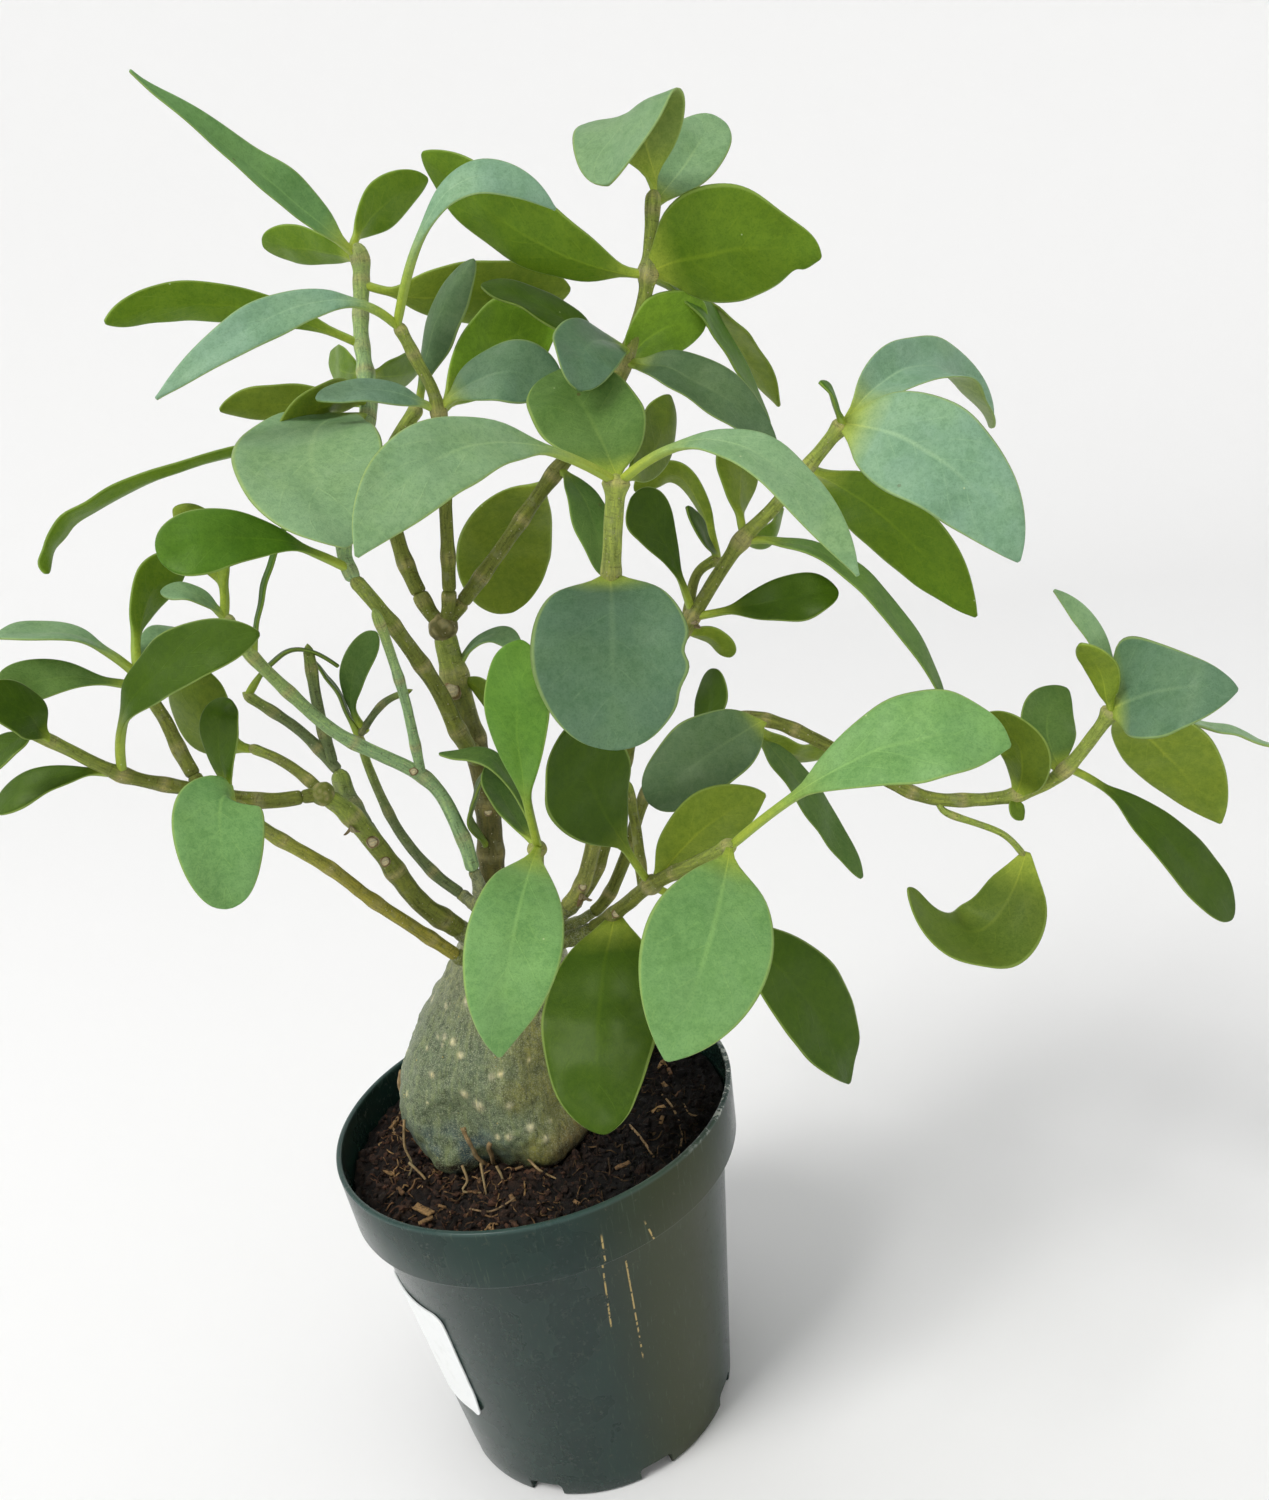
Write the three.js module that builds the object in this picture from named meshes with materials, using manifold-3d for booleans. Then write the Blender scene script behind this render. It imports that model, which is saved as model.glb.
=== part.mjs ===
// Potted ant plant (Hydnophytum papuanum) in a round four-inch nursery pot.
// Millimetres, Z up, the origin at the middle of the pot's underside.
// The plant is described shoot by shoot: the line of each stem, then each of its leaves.

import * as THREE from 'three';
import { mergeVertices } from 'three/addons/utils/BufferGeometryUtils.js';
import Module from 'manifold-3d';

const wasm = await Module();
wasm.setup();

// Pot
const potHeight = 93;
const rimRadius = 52.5;
const baseRadius = 37.5;
const collarHeight = 16;
const collarFlare = 1.1;
const ledgeWidth = 3.4;
const wall = 1.4;
const floorThickness = 2;
const roundedEdge = 0.6;
const drainSlots = 8;
const slotDepth = 9;
const slotWidth = 9;
const slotHeight = 4;
const potSides = 36;

// Soil, and the clearance that touching pieces keep
const seam = 0.3;
const soilDepthBelowRim = 9;
const soilBump = 0.9;
const coarseCrumb = 3.4;
const fineCrumb = 1.3;
const soilRings = 5;

// Tuber: its foot is buried, its crown carries the stems
const tuberFoot = 66;
const tuberCrown = 152;
const tuberRadius = 25;
const tuberMiddle = { x: -8, y: 6 };
const crownShift = { x: 12, y: -3 };
const leanFrom = 100;
const footShrink = 0.5;
const fullFrom = 98;
const crownShrink = 0.62;
const shoulder = 104;
const lobeDepth = 0.09;
const lobesFadeFrom = 92;
const lobesGoneAt = 126;

// Roots that creep down the tuber's flank into the soil: where each begins, and how far it
// turns aside on its way, in degrees about the tuber
const rootRadius = 0.7;
const rootEnd = 78;
const rootSteps = 4;
const roots = [
  { angle: -165, top: 108, turn: -14 },
  { angle: -112, top: 97, turn: 10 },
  { angle: -96, top: 94, turn: -8 },
  { angle: 150, top: 100, turn: 12 },
  { angle: 40, top: 98, turn: -12 },
];

// Label
const labelWidth = 26;
const labelHeight = 35;
const labelThickness = 0.6;
const labelBottom = 25;
const labelMiddleAngle = -146;

// Leaves and stems
const leafThickness = 1.1;
const leafEdgeThickness = 0.7;
const stalkHalfWidth = 0.9;
const tipHalfWidth = 0.4;
const slightCup = 0.1;
const leafRowLength = 7;
const fewestRows = 4;
const mostRows = 7;
const stemSides = 6;
const stemStep = 10;

const up = new THREE.Vector3(0, 0, 1);
const away = new THREE.Vector3(0, 1, 0);
const { degToRad, lerp, smoothstep } = THREE.MathUtils;

// Turns a three.js geometry into a manifold solid, and back.
function toSolid(geometry) {
  geometry.deleteAttribute('normal');
  geometry.deleteAttribute('uv');
  const merged = mergeVertices(geometry, 1e-4);
  return new wasm.Manifold(new wasm.Mesh({
    numProp: 3,
    vertProperties: new Float32Array(merged.attributes.position.array),
    triVerts: new Uint32Array(merged.index.array),
  }));
}

function toGeometry(solid) {
  const mesh = solid.getMesh();
  const geometry = new THREE.BufferGeometry();
  geometry.setAttribute('position', new THREE.BufferAttribute(mesh.vertProperties, 3));
  geometry.setIndex(new THREE.BufferAttribute(mesh.triVerts, 1));
  geometry.computeVertexNormals();
  return geometry;
}

// Moves every vertex of a geometry to where place(x, y, z) says.
function remap(geometry, place) {
  const position = geometry.attributes.position;
  for (let i = 0; i < position.count; i += 1) {
    const p = place(position.getX(i), position.getY(i), position.getZ(i));
    position.setXYZ(i, p.x, p.y, p.z);
  }
  return geometry;
}

// Leaf outlines: the stalk's share of the length, then how the blade widens and closes.
const oval = { stalk: 0.1, widen: 0.8, close: 0.62 };
const broad = { stalk: 0.08, widen: 0.55, close: 0.45 };
const stalked = { stalk: 0.24, widen: 0.95, close: 0.6 };
const spoon = { stalk: 0.16, widen: 1.3, close: 0.5 };
const strap = { stalk: 0.1, widen: 0.6, close: 0.5 };
const dagger = { stalk: 0.12, widen: 0.45, close: 0.95 };
const acute = { stalk: 0.08, widen: 0.7, close: 0.8 };
const drawn = { stalk: 0.22, widen: 1, close: 0.85 };
const delta = { stalk: 0.05, widen: 0.42, close: 0.75 };
const shield = { stalk: 0.04, widen: 0.5, close: 0.62 };

// Half the width of a leaf at t, from 0 at the stem to 1 at the tip.
function halfWidth(t, width, { stalk, widen, close }) {
  const u = Math.max(0, (t - stalk) / (1 - stalk));
  const peak = widen / (widen + close);
  const shape = (u ** widen * (1 - u) ** close) / (peak ** widen * (1 - peak) ** close);
  const least = t < 0.5 ? Math.min(stalkHalfWidth, width / 3) : tipHalfWidth;
  return Math.max(width / 2 * shape, least);
}

// A leaf is a box bent over its midrib, which runs through base, middle and tip.
// Its upper face looks up, turned by roll degrees about the line from base to tip;
// cup lifts the margins above the midrib. Rows of points lie closer towards the tip.
function leafSolid({ base, middle, tip, width, roll, outline, cup }) {
  const pull = middle.clone().multiplyScalar(2).sub(base.clone().add(tip).multiplyScalar(0.5));
  const midrib = new THREE.QuadraticBezierCurve3(base, pull, tip);
  const chord = tip.clone().sub(base).normalize();
  const face = up.clone().projectOnPlane(chord).normalize();
  face.applyAxisAngle(chord, degToRad(roll));
  const length = midrib.getLength();
  const rows = THREE.MathUtils.clamp(Math.round(length / leafRowLength), fewestRows, mostRows);
  const box = new THREE.BoxGeometry(1, 1, 1, rows, 2, 1);
  return toSolid(remap(box, (x, y, z) => {
    const t = 1 - (0.5 - x) ** 1.25;
    const across = 2 * y;
    const tangent = midrib.getTangent(t);
    const normal = face.clone().projectOnPlane(tangent).normalize();
    const side = normal.clone().cross(tangent);
    const half = halfWidth(t, width, outline);
    const thickness = lerp(leafThickness, leafEdgeThickness, Math.abs(across));
    const lift = cup * half * Math.abs(across) ** 1.5 + z * thickness;
    return midrib.getPoint(t).addScaledVector(side, half * across).addScaledVector(normal, lift);
  }));
}

// A stem is a cylinder bent along its line, between two distances from its foot.
function stemSolid({ line, footRadius, endRadius }, from = 0, to = Infinity, grow = 0) {
  const length = line.getLength();
  const first = from / length;
  const last = Math.min(1, to / length);
  const steps = Math.max(2, Math.round((last - first) * length / stemStep));
  const cylinder = new THREE.CylinderGeometry(1, 1, 1, stemSides, steps);
  return toSolid(remap(cylinder, (x, y, z) => {
    const u = lerp(first, last, y + 0.5);
    const tangent = line.getTangentAt(u);
    const side = tangent.clone().cross(away).normalize();
    const front = side.clone().cross(tangent);
    const radius = lerp(footRadius, endRadius, u) + grow;
    return line.getPointAt(u).addScaledVector(side, x * radius).addScaledVector(front, z * radius);
  }));
}

function knuckleSolid({ centre, radius }) {
  return toSolid(new THREE.SphereGeometry(radius, 8, 6).rotateX(Math.PI / 2)).translate(centre);
}

// The words of the plan
const vector = (numbers) => new THREE.Vector3(...numbers);
const curve = (points) => new THREE.CatmullRomCurve3(points, false, 'catmullrom', 0.5);
const stem = (footRadius, endRadius, points) => ({
  line: curve(points.map(vector)),
  footRadius,
  endRadius,
});
const knuckle = (radius, centre) => ({ centre, radius });
const leaf = (base, middle, tip, width, roll, outline, cup = slightCup) => ({
  base: vector(base), middle: vector(middle), tip: vector(tip), width, roll, outline, cup,
});
const shoots = [];
// The first stem of a shoot is its main one. Its foot, so many millimetres long, belongs to
// what it grows on, and the shoot begins a seam above it.
function shoot(name, on, foot, stems, leaves) {
  shoots.push({ name, on, foot, stems, leaves });
}

shoot('left_low_stem', 'caudex', 12, [
  stem(1.8, 1.5, [[-6, -2, 131], [-10, -8, 141], [-23, -18, 162], [-29, -24, 174],
    [-38, -32, 188], [-42, -36, 197]]),
], [
  // Round hanging
  leaf([-42, -36, 196], [-42, -44, 197], [-45, -46, 177], 18, -35, broad),
  // Small dark oval
  leaf([-42, -36, 196], [-40, -38, 211], [-36, -36, 218], 10, 65, oval),
]);

shoot('left_stem', 'caudex', 12, [
  stem(2.8, 2.3, [[-4, 2, 135], [-8, -2, 144], [-15, -8, 156], [-20, -12, 172], [-24, -15, 183],
    [-28, -18, 190]]),
  stem(1.4, 1.2, [[-27, -18, 189], [-36, -12, 197], [-45, -8, 202]]),
  knuckle(2.8, [-28, -18, 190]),
], [
  // Olive upright
  leaf([-44, -8, 201], [-53, -10, 209], [-47, -12, 221], 17, 15, broad),
]);

shoot('left_long_shoot', 'left_stem', 5, [
  stem(1.9, 1.3, [[-28, -18, 190], [-40, -22, 192], [-53, -27, 199], [-64, -32, 206],
    [-72, -38, 216], [-76, -41, 221]]),
], [
  // Arched back over the shoot
  leaf([-64, -32, 206], [-50, -42, 225], [-22, -52, 232], 12, 75, stalked),
  // Dark, low left
  leaf([-64, -32, 206], [-75, -36, 209], [-89, -38, 205], 9, -40, spoon),
  // Left edge upper
  leaf([-73, -39, 217], [-73, -44, 224], [-77, -50, 231], 11, -85, oval),
  // Left edge lower
  leaf([-75, -40, 220], [-78, -44, 219], [-85, -46, 213], 9, -30, oval),
]);

shoot('left_rising_shoot', 'left_long_shoot', 4, [
  stem(1.8, 1.3, [[-51, -26, 198], [-54, -24, 207], [-55, -24, 214], [-56, -25, 219],
    [-57, -26, 226]]),
], [
  // Upright behind the dark leaf
  leaf([-57, -26, 225], [-54, -20, 239], [-45, -12, 246], 11, -70, stalked),
  // Light to the left
  leaf([-57, -26, 225], [-66, -30, 236], [-79, -34, 239], 10, -25, stalked),
  // Dark to the left
  leaf([-56, -26, 222], [-69, -32, 228], [-80, -38, 229], 10, -50, spoon),
  // Small bluish
  leaf([-57, -26, 225], [-54, -18, 231], [-51, -8, 230], 7, 30, oval),
]);

shoot('left_grey_shoot', 'left_stem', 6, [
  stem(2.6, 2.4, [[-21, -12, 174], [-27, -2, 183], [-28, 0, 191]]),
  stem(1.5, 1.3, [[-28, 0, 190], [-35, 2, 201], [-46, 2, 213]]),
  stem(1.5, 1.4, [[-29, 0, 192], [-30, 4, 205], [-29, 6, 221]]),
], [
  // Thin arched
  leaf([-45, 2, 212], [-33, 4, 220], [-23, 6, 214], 3, 0, strap),
]);

shoot('pale_stem', 'caudex', 16, [
  stem(2, 1.4, [[-1, 0, 146], [-1, -5, 160], [-2, -5, 171], [-7, -4, 185], [-23, -8, 200],
    [-31, -12, 213], [-37, -15, 225], [-39, -17, 234]]),
  stem(1.3, 1.1, [[-8, -4, 186], [-6, -12, 206], [-5, -22, 222], [-5, -27, 230]]),
], [
  // Olive upright
  leaf([-39, -17, 233], [-39, -12, 245], [-47, -4, 257], 11, 125, stalked),
  // Light small
  leaf([-39, -17, 233], [-43, -20, 239], [-49, -22, 241], 7, -45, oval),
  // Thin upright
  leaf([-36, -15, 223], [-32, -8, 236], [-25, 2, 250], 2.5, -10, strap),
]);

shoot('thin_left_stem', 'caudex', 14, [
  stem(1.7, 1.1, [[-2, 3, 141], [-4, 0, 150], [-12, 2, 159], [-19, 6, 171], [-23, 10, 186],
    [-24, 12, 196]]),
  stem(1, 0.9, [[-24, 12, 195], [-16, 12, 202], [-8, 12, 204]]),
], [
  // Dark upright
  leaf([-22, 12, 196], [-23, 12, 207], [-13, 10, 220], 8, 80, spoon),
  // Small dark thin
  leaf([-24, 12, 195], [-27, 13, 207], [-31, 12, 216], 4, 0, strap),
]);

shoot('centre_stem', 'caudex', 14, [
  stem(3.5, 3, [[1, 6, 140], [2, 4, 155], [5, 4, 175], [5, 5, 185], [4, 4, 206], [4, 3, 219]]),
  knuckle(3.6, [4, 3, 219]),
], [
  // Narrow at the foot
  leaf([3, 4, 161], [2, -6, 175], [9, -8, 186], 5, 65, oval),
  // Small arched
  leaf([4, 4, 208], [15, 2, 215], [21, -2, 210], 6, 35, oval),
  // Small dark
  leaf([4, 4, 206], [10, 0, 203], [13, -4, 197], 6, -100, oval),
]);

shoot('forked_left_stem', 'centre_stem', 8, [
  stem(2.4, 1.6, [[5, 5, 184], [3, -3, 194], [1, -6, 206], [-3, -14, 221], [-6, -21, 231],
    [-8, -26, 237]]),
  stem(1.6, 1.9, [[-8, -25, 236], [-9, -22, 243], [-7, -8, 256], [-2, 6, 270], [-1, 16, 288],
    [2, 20, 303], [1, 20, 308]]),
], [
  // Dark, to the left
  leaf([-8, -24, 238], [-23, -38, 249], [-39, -44, 248], 14, -60, spoon),
  // Broad, falling in front
  leaf([-2, 5, 269], [-10, -22, 265], [-4, -44, 244], 30, -10, oval),
  // Narrow, long, low left
  leaf([-3, 4, 267], [-53, -14, 263], [-71, -22, 249], 7, 25, strap),
  // Olive behind left
  leaf([-2, 7, 272], [-18, 4, 275], [-33, 0, 276], 9, 50, oval),
  // Olive folded
  leaf([-2, 7, 272], [-8, -4, 273], [-19, -14, 268], 12, 40, oval),
  // Green behind left
  leaf([-1, 12, 279], [-8, 22, 281], [-12, 34, 287], 10, 105, oval),
  // Green behind right
  leaf([-1, 12, 279], [4, 22, 278], [10, 34, 280], 10, -50, oval),
  // Olive, far left
  leaf([-1, 15, 285], [-27, 6, 298], [-50, -6, 297], 10.5, 45, oval),
  // Long pointed, high left
  leaf([2, 20, 304], [-13, 10, 322], [-31, -6, 342], 9, -80, dagger, 0.5),
  // Olive, right of the tip
  leaf([1, 20, 307], [8, 26, 315], [20, 34, 321], 11, -70, oval),
  // Low left of the tip
  leaf([2, 20, 304], [-11, 28, 310], [-22, 34, 313], 10, 60, broad),
  // Olive behind the centre
  leaf([1, 19, 299], [18, 20, 293], [49, 28, 290], 17, -50, stalked),
]);

shoot('centre_left_shoot', 'centre_stem', 10, [
  stem(2.1, 1.7, [[4, 3, 219], [1, 4, 225], [-2, 6, 238], [-2, 8, 254], [3, 8, 263], [10, 8, 270]]),
], [
  // Dark upright, spotted
  leaf([9, 8, 269], [17, 2, 284], [29, -4, 296], 9, 90, oval, -0.5),
]);

shoot('centre_shoot', 'centre_stem', 10, [
  stem(1.8, 1.3, [[4, 3, 219], [7, 1, 225], [11, -2, 244], [15, -6, 267], [13, -9, 278],
    [11, -12, 286]]),
], [
  // Bluish, drooping left
  leaf([11, -12, 285], [-6, -20, 291], [-36, -30, 278], 9, -65, drawn),
  // Arched over right
  leaf([11, -12, 285], [29, -20, 307], [48, -18, 300], 8, 60, drawn),
  // Short, left
  leaf([15, -6, 267], [4, -12, 273], [-8, -18, 273], 8, -50, oval),
  // Dark bluish, right
  leaf([15, -6, 267], [30, -8, 272], [42, -8, 266], 15, 60, oval),
  // Bright underside
  leaf([15, -6, 266], [31, 14, 280], [44, 20, 281], 19, -85, broad),
]);

shoot('centre_right_shoot', 'centre_stem', 8, [
  stem(1.9, 1.6, [[4, 3, 219], [11, 3, 225], [22, 4, 235], [37, 6, 249], [50, 6, 259],
    [56, 5, 268], [63, 4, 280], [66, 2, 288], [70, 0, 304]]),
], [
  // Olive, wavy, behind
  leaf([36, 6, 248], [21, 20, 234], [19, 28, 216], 24, 30, broad),
  // Dark, below the crook
  leaf([38, 6, 250], [43, -2, 240], [44, -8, 225], 11, -10, oval),
  // Bluish round, small
  leaf([59, 5, 272], [50, -14, 274], [46, -26, 265], 15, -45, broad),
  // Bright, right
  leaf([57, 5, 269], [67, 6, 276], [77, 10, 274], 17, -55, broad),
  // Dark glossy, right
  leaf([57, 5, 270], [73, -4, 262], [87, -8, 245], 12.5, 45, acute, 0.3),
  // Dark, left behind
  leaf([56, 5, 267], [45, 6, 282], [29, 6, 292], 12, -35, oval),
  // Long dark, falling right
  leaf([66, 2, 287], [79, 12, 276], [90, 18, 249], 12, 55, strap),
  // Behind the long dark
  leaf([66, 2, 287], [83, 24, 275], [96, 34, 254], 12, 15, oval),
  // Olive broad, right
  leaf([66, 2, 288], [86, -6, 288], [102, -8, 283], 26, -60, delta),
  // Long green, left
  leaf([66, 2, 287], [43, 0, 298], [23, 0, 319], 17, 50, oval),
  // Top, folded forward
  leaf([69.7, 0.2, 302.6], [68, -4, 318], [59, -18, 303], 24, 0, broad),
  // Top right
  leaf([69, 0.5, 300], [80, 8, 310], [87, 14, 318], 14, 50, broad),
]);

shoot('front_stem', 'caudex', 12, [
  stem(2, 2.1, [[10, -3, 140], [17, -5, 145], [25, -7, 153], [33, -13, 174], [40, -24, 200],
    [45, -32, 227], [50, -34, 248]]),
], [
  // Light, arched to the left
  leaf([50, -34, 246], [25, -56, 258], [4, -76, 244], 16, -50, drawn),
  // Light, arched to the right
  leaf([50, -34, 246], [73, -50, 249], [89, -62, 223], 11, 30, drawn),
  // Round, hanging
  leaf([45, -32, 228], [43, -46, 217], [39, -50, 196], 32, -20, shield),
  // Dark, upright behind
  leaf([50, -34, 246], [47, -24, 259], [42, -15, 270], 24, -5, broad),
  // Olive, upright behind
  leaf([50, -34, 246], [59, -20, 251], [65, -10, 261], 12, -95, oval),
]);

shoot('low_front_stem', 'caudex', 12, [
  stem(1.8, 1.6, [[8, -4, 142], [14, -15, 156], [18, -28, 172]]),
], [
  // Bright, upright
  leaf([18, -27, 171], [20, -40, 198], [25, -42, 220], 14, 135, stalked),
  // Light, hanging
  leaf([18, -27, 171], [12, -56, 163], [5, -62, 141], 20, -30, acute),
  // Small dark, left
  leaf([18, -27, 171], [13, -20, 188], [-1, -14, 193], 6, 0, oval),
  // Dark behind
  leaf([18, -27, 171], [12, -20, 180], [10, -15, 189], 9, 15, oval),
]);

shoot('low_right_stem', 'caudex', 12, [
  stem(2.2, 1.5, [[13, -2, 135], [26, -3, 139], [34, -10, 146], [41, -20, 154], [52, -34, 163],
    [60, -45, 170]]),
  stem(1.4, 1.3, [[39, -17, 151], [40, -10, 164], [40, -8, 177]]),
], [
  // Dark, up to the left
  leaf([41, -20, 154], [33, -30, 180], [30, -37, 199], 24, -110, oval),
  // Olive, right
  leaf([41, -21, 154], [56, -25, 168], [70, -28, 173], 16, -75, acute),
  // Light, hanging in front
  leaf([59, -44, 169], [50, -64, 157], [38, -72, 139], 26, -35, acute),
  // Light, long, right
  leaf([59, -44, 169], [91, -54, 187], [115, -58, 184], 20, 45, drawn),
  // Dark, hanging right behind
  leaf([41, -20, 154], [69, -15, 122], [81, -14, 88], 23, 60, drawn),
  // Dark, hanging middle
  leaf([31, -6, 142], [23, -30, 126], [21, -44, 107], 29, 5, shield),
]);

shoot('right_stem', 'caudex', 14, [
  stem(2, 1.7, [[11, 6, 135], [26, 8, 147], [36, 8, 167], [47, 6, 191], [61, 4, 208],
    [76, 2, 225], [86, -1, 233], [103, -8, 249]]),
  stem(1.4, 1.3, [[61, 4, 208], [66, 10, 219], [73, 12, 222]]),
], [
  // Dark, right
  leaf([62, 4, 210], [80, -2, 211], [97, -4, 211], 13, 50, stalked),
  // Long, arched, right
  leaf([77, 2, 226], [100, -6, 215], [117, -12, 182], 8, 25, strap),
  // Olive, right
  leaf([94, -4, 240], [115, 8, 222], [131, 4, 197], 18, -50, acute),
  // Light, right
  leaf([102, -8, 248], [119, -22, 237], [131, -28, 214], 24, 55, delta),
  // Top, folded
  leaf([102, -8, 248], [125, 4, 257], [142, 14, 240], 20, 45, broad, 0.5),
  // Small, top
  leaf([102, -8, 248], [100, -12, 254], [97, -14, 258], 4, -75, oval),
  // Upright behind the arched leaf
  leaf([78, 2, 227], [79, 8, 237], [84, 16, 250], 14, -120, stalked),
  // Olive, arched left
  leaf([72, 12, 222], [67, 14, 242], [55, 14, 241], 8, 50, strap),
  // Dark narrow, left
  leaf([72, 12, 222], [69, 8, 228], [66, 4, 236], 6, -80, oval),
  // Small dark under the stem
  leaf([77, 2, 226], [85, 12, 225], [91, 18, 230], 7, -70, oval),
  // Dark, bent, left
  leaf([63, 4, 211], [59, -2, 229], [53, -6, 241], 13, -100, spoon),
  // Small olive low
  leaf([60, 4, 207], [67, 6, 204], [71, 8, 198], 7, -35, broad),
]);

shoot('right_low_stem', 'caudex', 14, [
  stem(1.8, 1.6, [[11, 12, 132], [26, 15, 136], [35, 14, 148], [42, 11, 163], [49, 8, 173],
    [60, 4, 182], [70, 0, 184], [78, -2, 182], [89, -6, 175], [107, -12, 161], [121, -16, 158],
    [132, -19, 159], [140, -22, 164], [150, -27, 178]]),
  // Carries the curled leaf
  stem(0.9, 0.8, [[112, -13, 159], [113, -15, 156], [125, -17, 149], [130, -18, 142]]),
], [
  // Dark, left
  leaf([76, -2, 183], [62, -6, 179], [44, -8, 170], 20, -50, broad),
  // Small dark upright
  leaf([60, 4, 182], [64, 8, 187], [66, 12, 195], 8, -15, oval),
  // Dark, low, narrow
  leaf([70, 0, 184], [83, 8, 162], [95, 6, 134], 10, 60, oval),
  // Brown behind
  leaf([72, -1, 184], [83, 10, 170], [96, 18, 165], 9, -30, oval),
  // Dark spatulate, right
  leaf([140, -22, 164], [158, -22, 147], [177, -22, 118], 13, 65, spoon),
  // Dark upright
  leaf([139, -21, 163], [139, -14, 173], [147, -8, 178], 14, 35, shield),
  // Curled
  leaf([129, -18, 158], [129, -24, 171], [124, -16, 178], 13, 60, shield),
  // Nub
  leaf([129, -18, 158], [128, -20, 156], [129, -21, 153], 4, -20, oval),
  // Crescent, curled under
  leaf([130, -18, 143], [115, -22, 124], [100, -24, 143], 19, -26, oval),
  // Thin, high
  leaf([149, -27, 177], [149, -24, 191], [141, -20, 205], 5, -35, oval),
  // Bluish, right
  leaf([149, -27, 177], [157, -38, 183], [168, -44, 182], 22, 55, delta),
  // Yellow underside
  leaf([149, -27, 177], [146, -30, 187], [141, -32, 195], 8, 10, oval),
  // Olive, hanging right
  leaf([149, -26, 177], [163, -22, 163], [176, -20, 142], 19, -45, acute),
  // Thin, far right
  leaf([149, -27, 177], [173, -18, 167], [194, -16, 156], 5, 15, strap),
]);

// The tuber is a sphere drawn out to a leaning cone with lobes round its foot.
function tuberAxis(z) {
  const lean = smoothstep(z, leanFrom, tuberCrown);
  return new THREE.Vector3(tuberMiddle.x + crownShift.x * lean, tuberMiddle.y + crownShift.y * lean, z);
}

function tuberRadiusAt(z, angle) {
  const foot = 1 - footShrink * (1 - smoothstep(z, tuberFoot, fullFrom));
  const crown = 1 - crownShrink * smoothstep(z, shoulder, tuberCrown);
  const low = 1 - smoothstep(z, lobesFadeFrom, lobesGoneAt);
  const lobes = Math.cos(5 * angle + 0.6) + 0.5 * Math.cos(3 * angle + 2);
  return tuberRadius * foot * crown * (1 + lobeDepth * low * lobes);
}

// The sphere's cap is drawn in steeply, so that the crown ends blunt.
const bluntness = 1.45;
function tuberSolid(grow) {
  const sphere = new THREE.SphereGeometry(1, 22, 13).rotateX(Math.PI / 2);
  const middle = (tuberCrown + tuberFoot) / 2;
  const reach = (tuberCrown - tuberFoot) / 2 + grow;
  return toSolid(remap(sphere, (x, y, z) => {
    const height = middle + reach * z;
    const angle = Math.atan2(y, x);
    const radius = Math.min(1, bluntness * Math.hypot(x, y)) * (tuberRadiusAt(height, angle) + grow);
    return tuberAxis(height).add(new THREE.Vector3(radius * Math.cos(angle), radius * Math.sin(angle), 0));
  }));
}

// A root lies on the flank, sunk in it by a little more than half.
function rootSolid({ angle, top, turn }, grow) {
  const points = [];
  for (let i = 0; i <= rootSteps; i += 1) {
    const z = lerp(top, rootEnd, i / rootSteps);
    const around = degToRad(angle + turn * i / rootSteps);
    const radius = tuberRadiusAt(z, around) + 0.4 * rootRadius;
    const outward = new THREE.Vector3(Math.cos(around), Math.sin(around), 0);
    points.push(tuberAxis(z).addScaledVector(outward, radius));
  }
  const root = { line: curve(points), footRadius: rootRadius, endRadius: 0.8 * rootRadius };
  return stemSolid(root, 0, Infinity, grow);
}

function plantFoot(grow) {
  return roots.reduce((solid, root) => solid.add(rootSolid(root, grow)), tuberSolid(grow));
}

// The pot's outline, as the radius of its outer face at a height.
const collarBottom = potHeight - collarHeight;
const collarRadius = rimRadius - collarFlare;
const bodyRadius = collarRadius - ledgeWidth;
const outerRadius = (z) => THREE.MathUtils.mapLinear(z, 0, collarBottom, baseRadius, bodyRadius);

function lathe(outline) {
  const points = outline.map(([radius, height]) => new THREE.Vector2(radius, height));
  return new THREE.LatheGeometry(points, potSides).rotateX(Math.PI / 2);
}

function potSolid() {
  const round = roundedEdge;
  let pot = toSolid(lathe([
    [0, 0],
    [baseRadius - round, 0],
    [outerRadius(round), round],
    [bodyRadius, collarBottom],
    [collarRadius - round, collarBottom],
    [collarRadius, collarBottom + round],
    [rimRadius, potHeight - round],
    [rimRadius - round, potHeight],
    [rimRadius - wall, potHeight],
    [collarRadius - wall, collarBottom + wall],
    [bodyRadius - wall, collarBottom + wall],
    [baseRadius - wall, floorThickness],
    [0, floorThickness],
  ]));
  const slot = new THREE.BoxGeometry(slotDepth, slotWidth, 2 * slotHeight).translate(baseRadius, 0, 0);
  for (let i = 0; i < drainSlots; i += 1) {
    const angle = (i + 0.5) * 2 * Math.PI / drainSlots;
    pot = pot.subtract(toSolid(slot.clone().rotateZ(angle)));
  }
  return pot;
}

// Crumbly top of the soil, as a height above its level: two crossed waves.
function crumble(x, y) {
  const coarse = Math.sin(x / coarseCrumb) * Math.cos(y / coarseCrumb);
  const fine = Math.sin((x - y) / fineCrumb) * Math.cos((x / 2 + y) / fineCrumb);
  return soilBump * (coarse + 0.6 * fine);
}

function soilSolid() {
  const level = potHeight - soilDepthBelowRim;
  const bottom = floorThickness + seam;
  const step = collarBottom + wall + seam;
  const inner = (z) => outerRadius(z) - wall - seam;
  const topRadius = collarRadius - wall - seam;
  const outline = [
    [0, bottom],
    [inner(bottom), bottom],
    [inner(collarBottom), step],
    [topRadius, step],
  ];
  for (let ring = soilRings + 1; ring >= 0; ring -= 1) {
    outline.push([topRadius * ring / (soilRings + 1), level]);
  }
  const top = (x, y, z) => new THREE.Vector3(x, y, z < level ? z : z + crumble(x, y));
  return toSolid(remap(lathe(outline), top)).subtract(plantFoot(seam));
}

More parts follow.
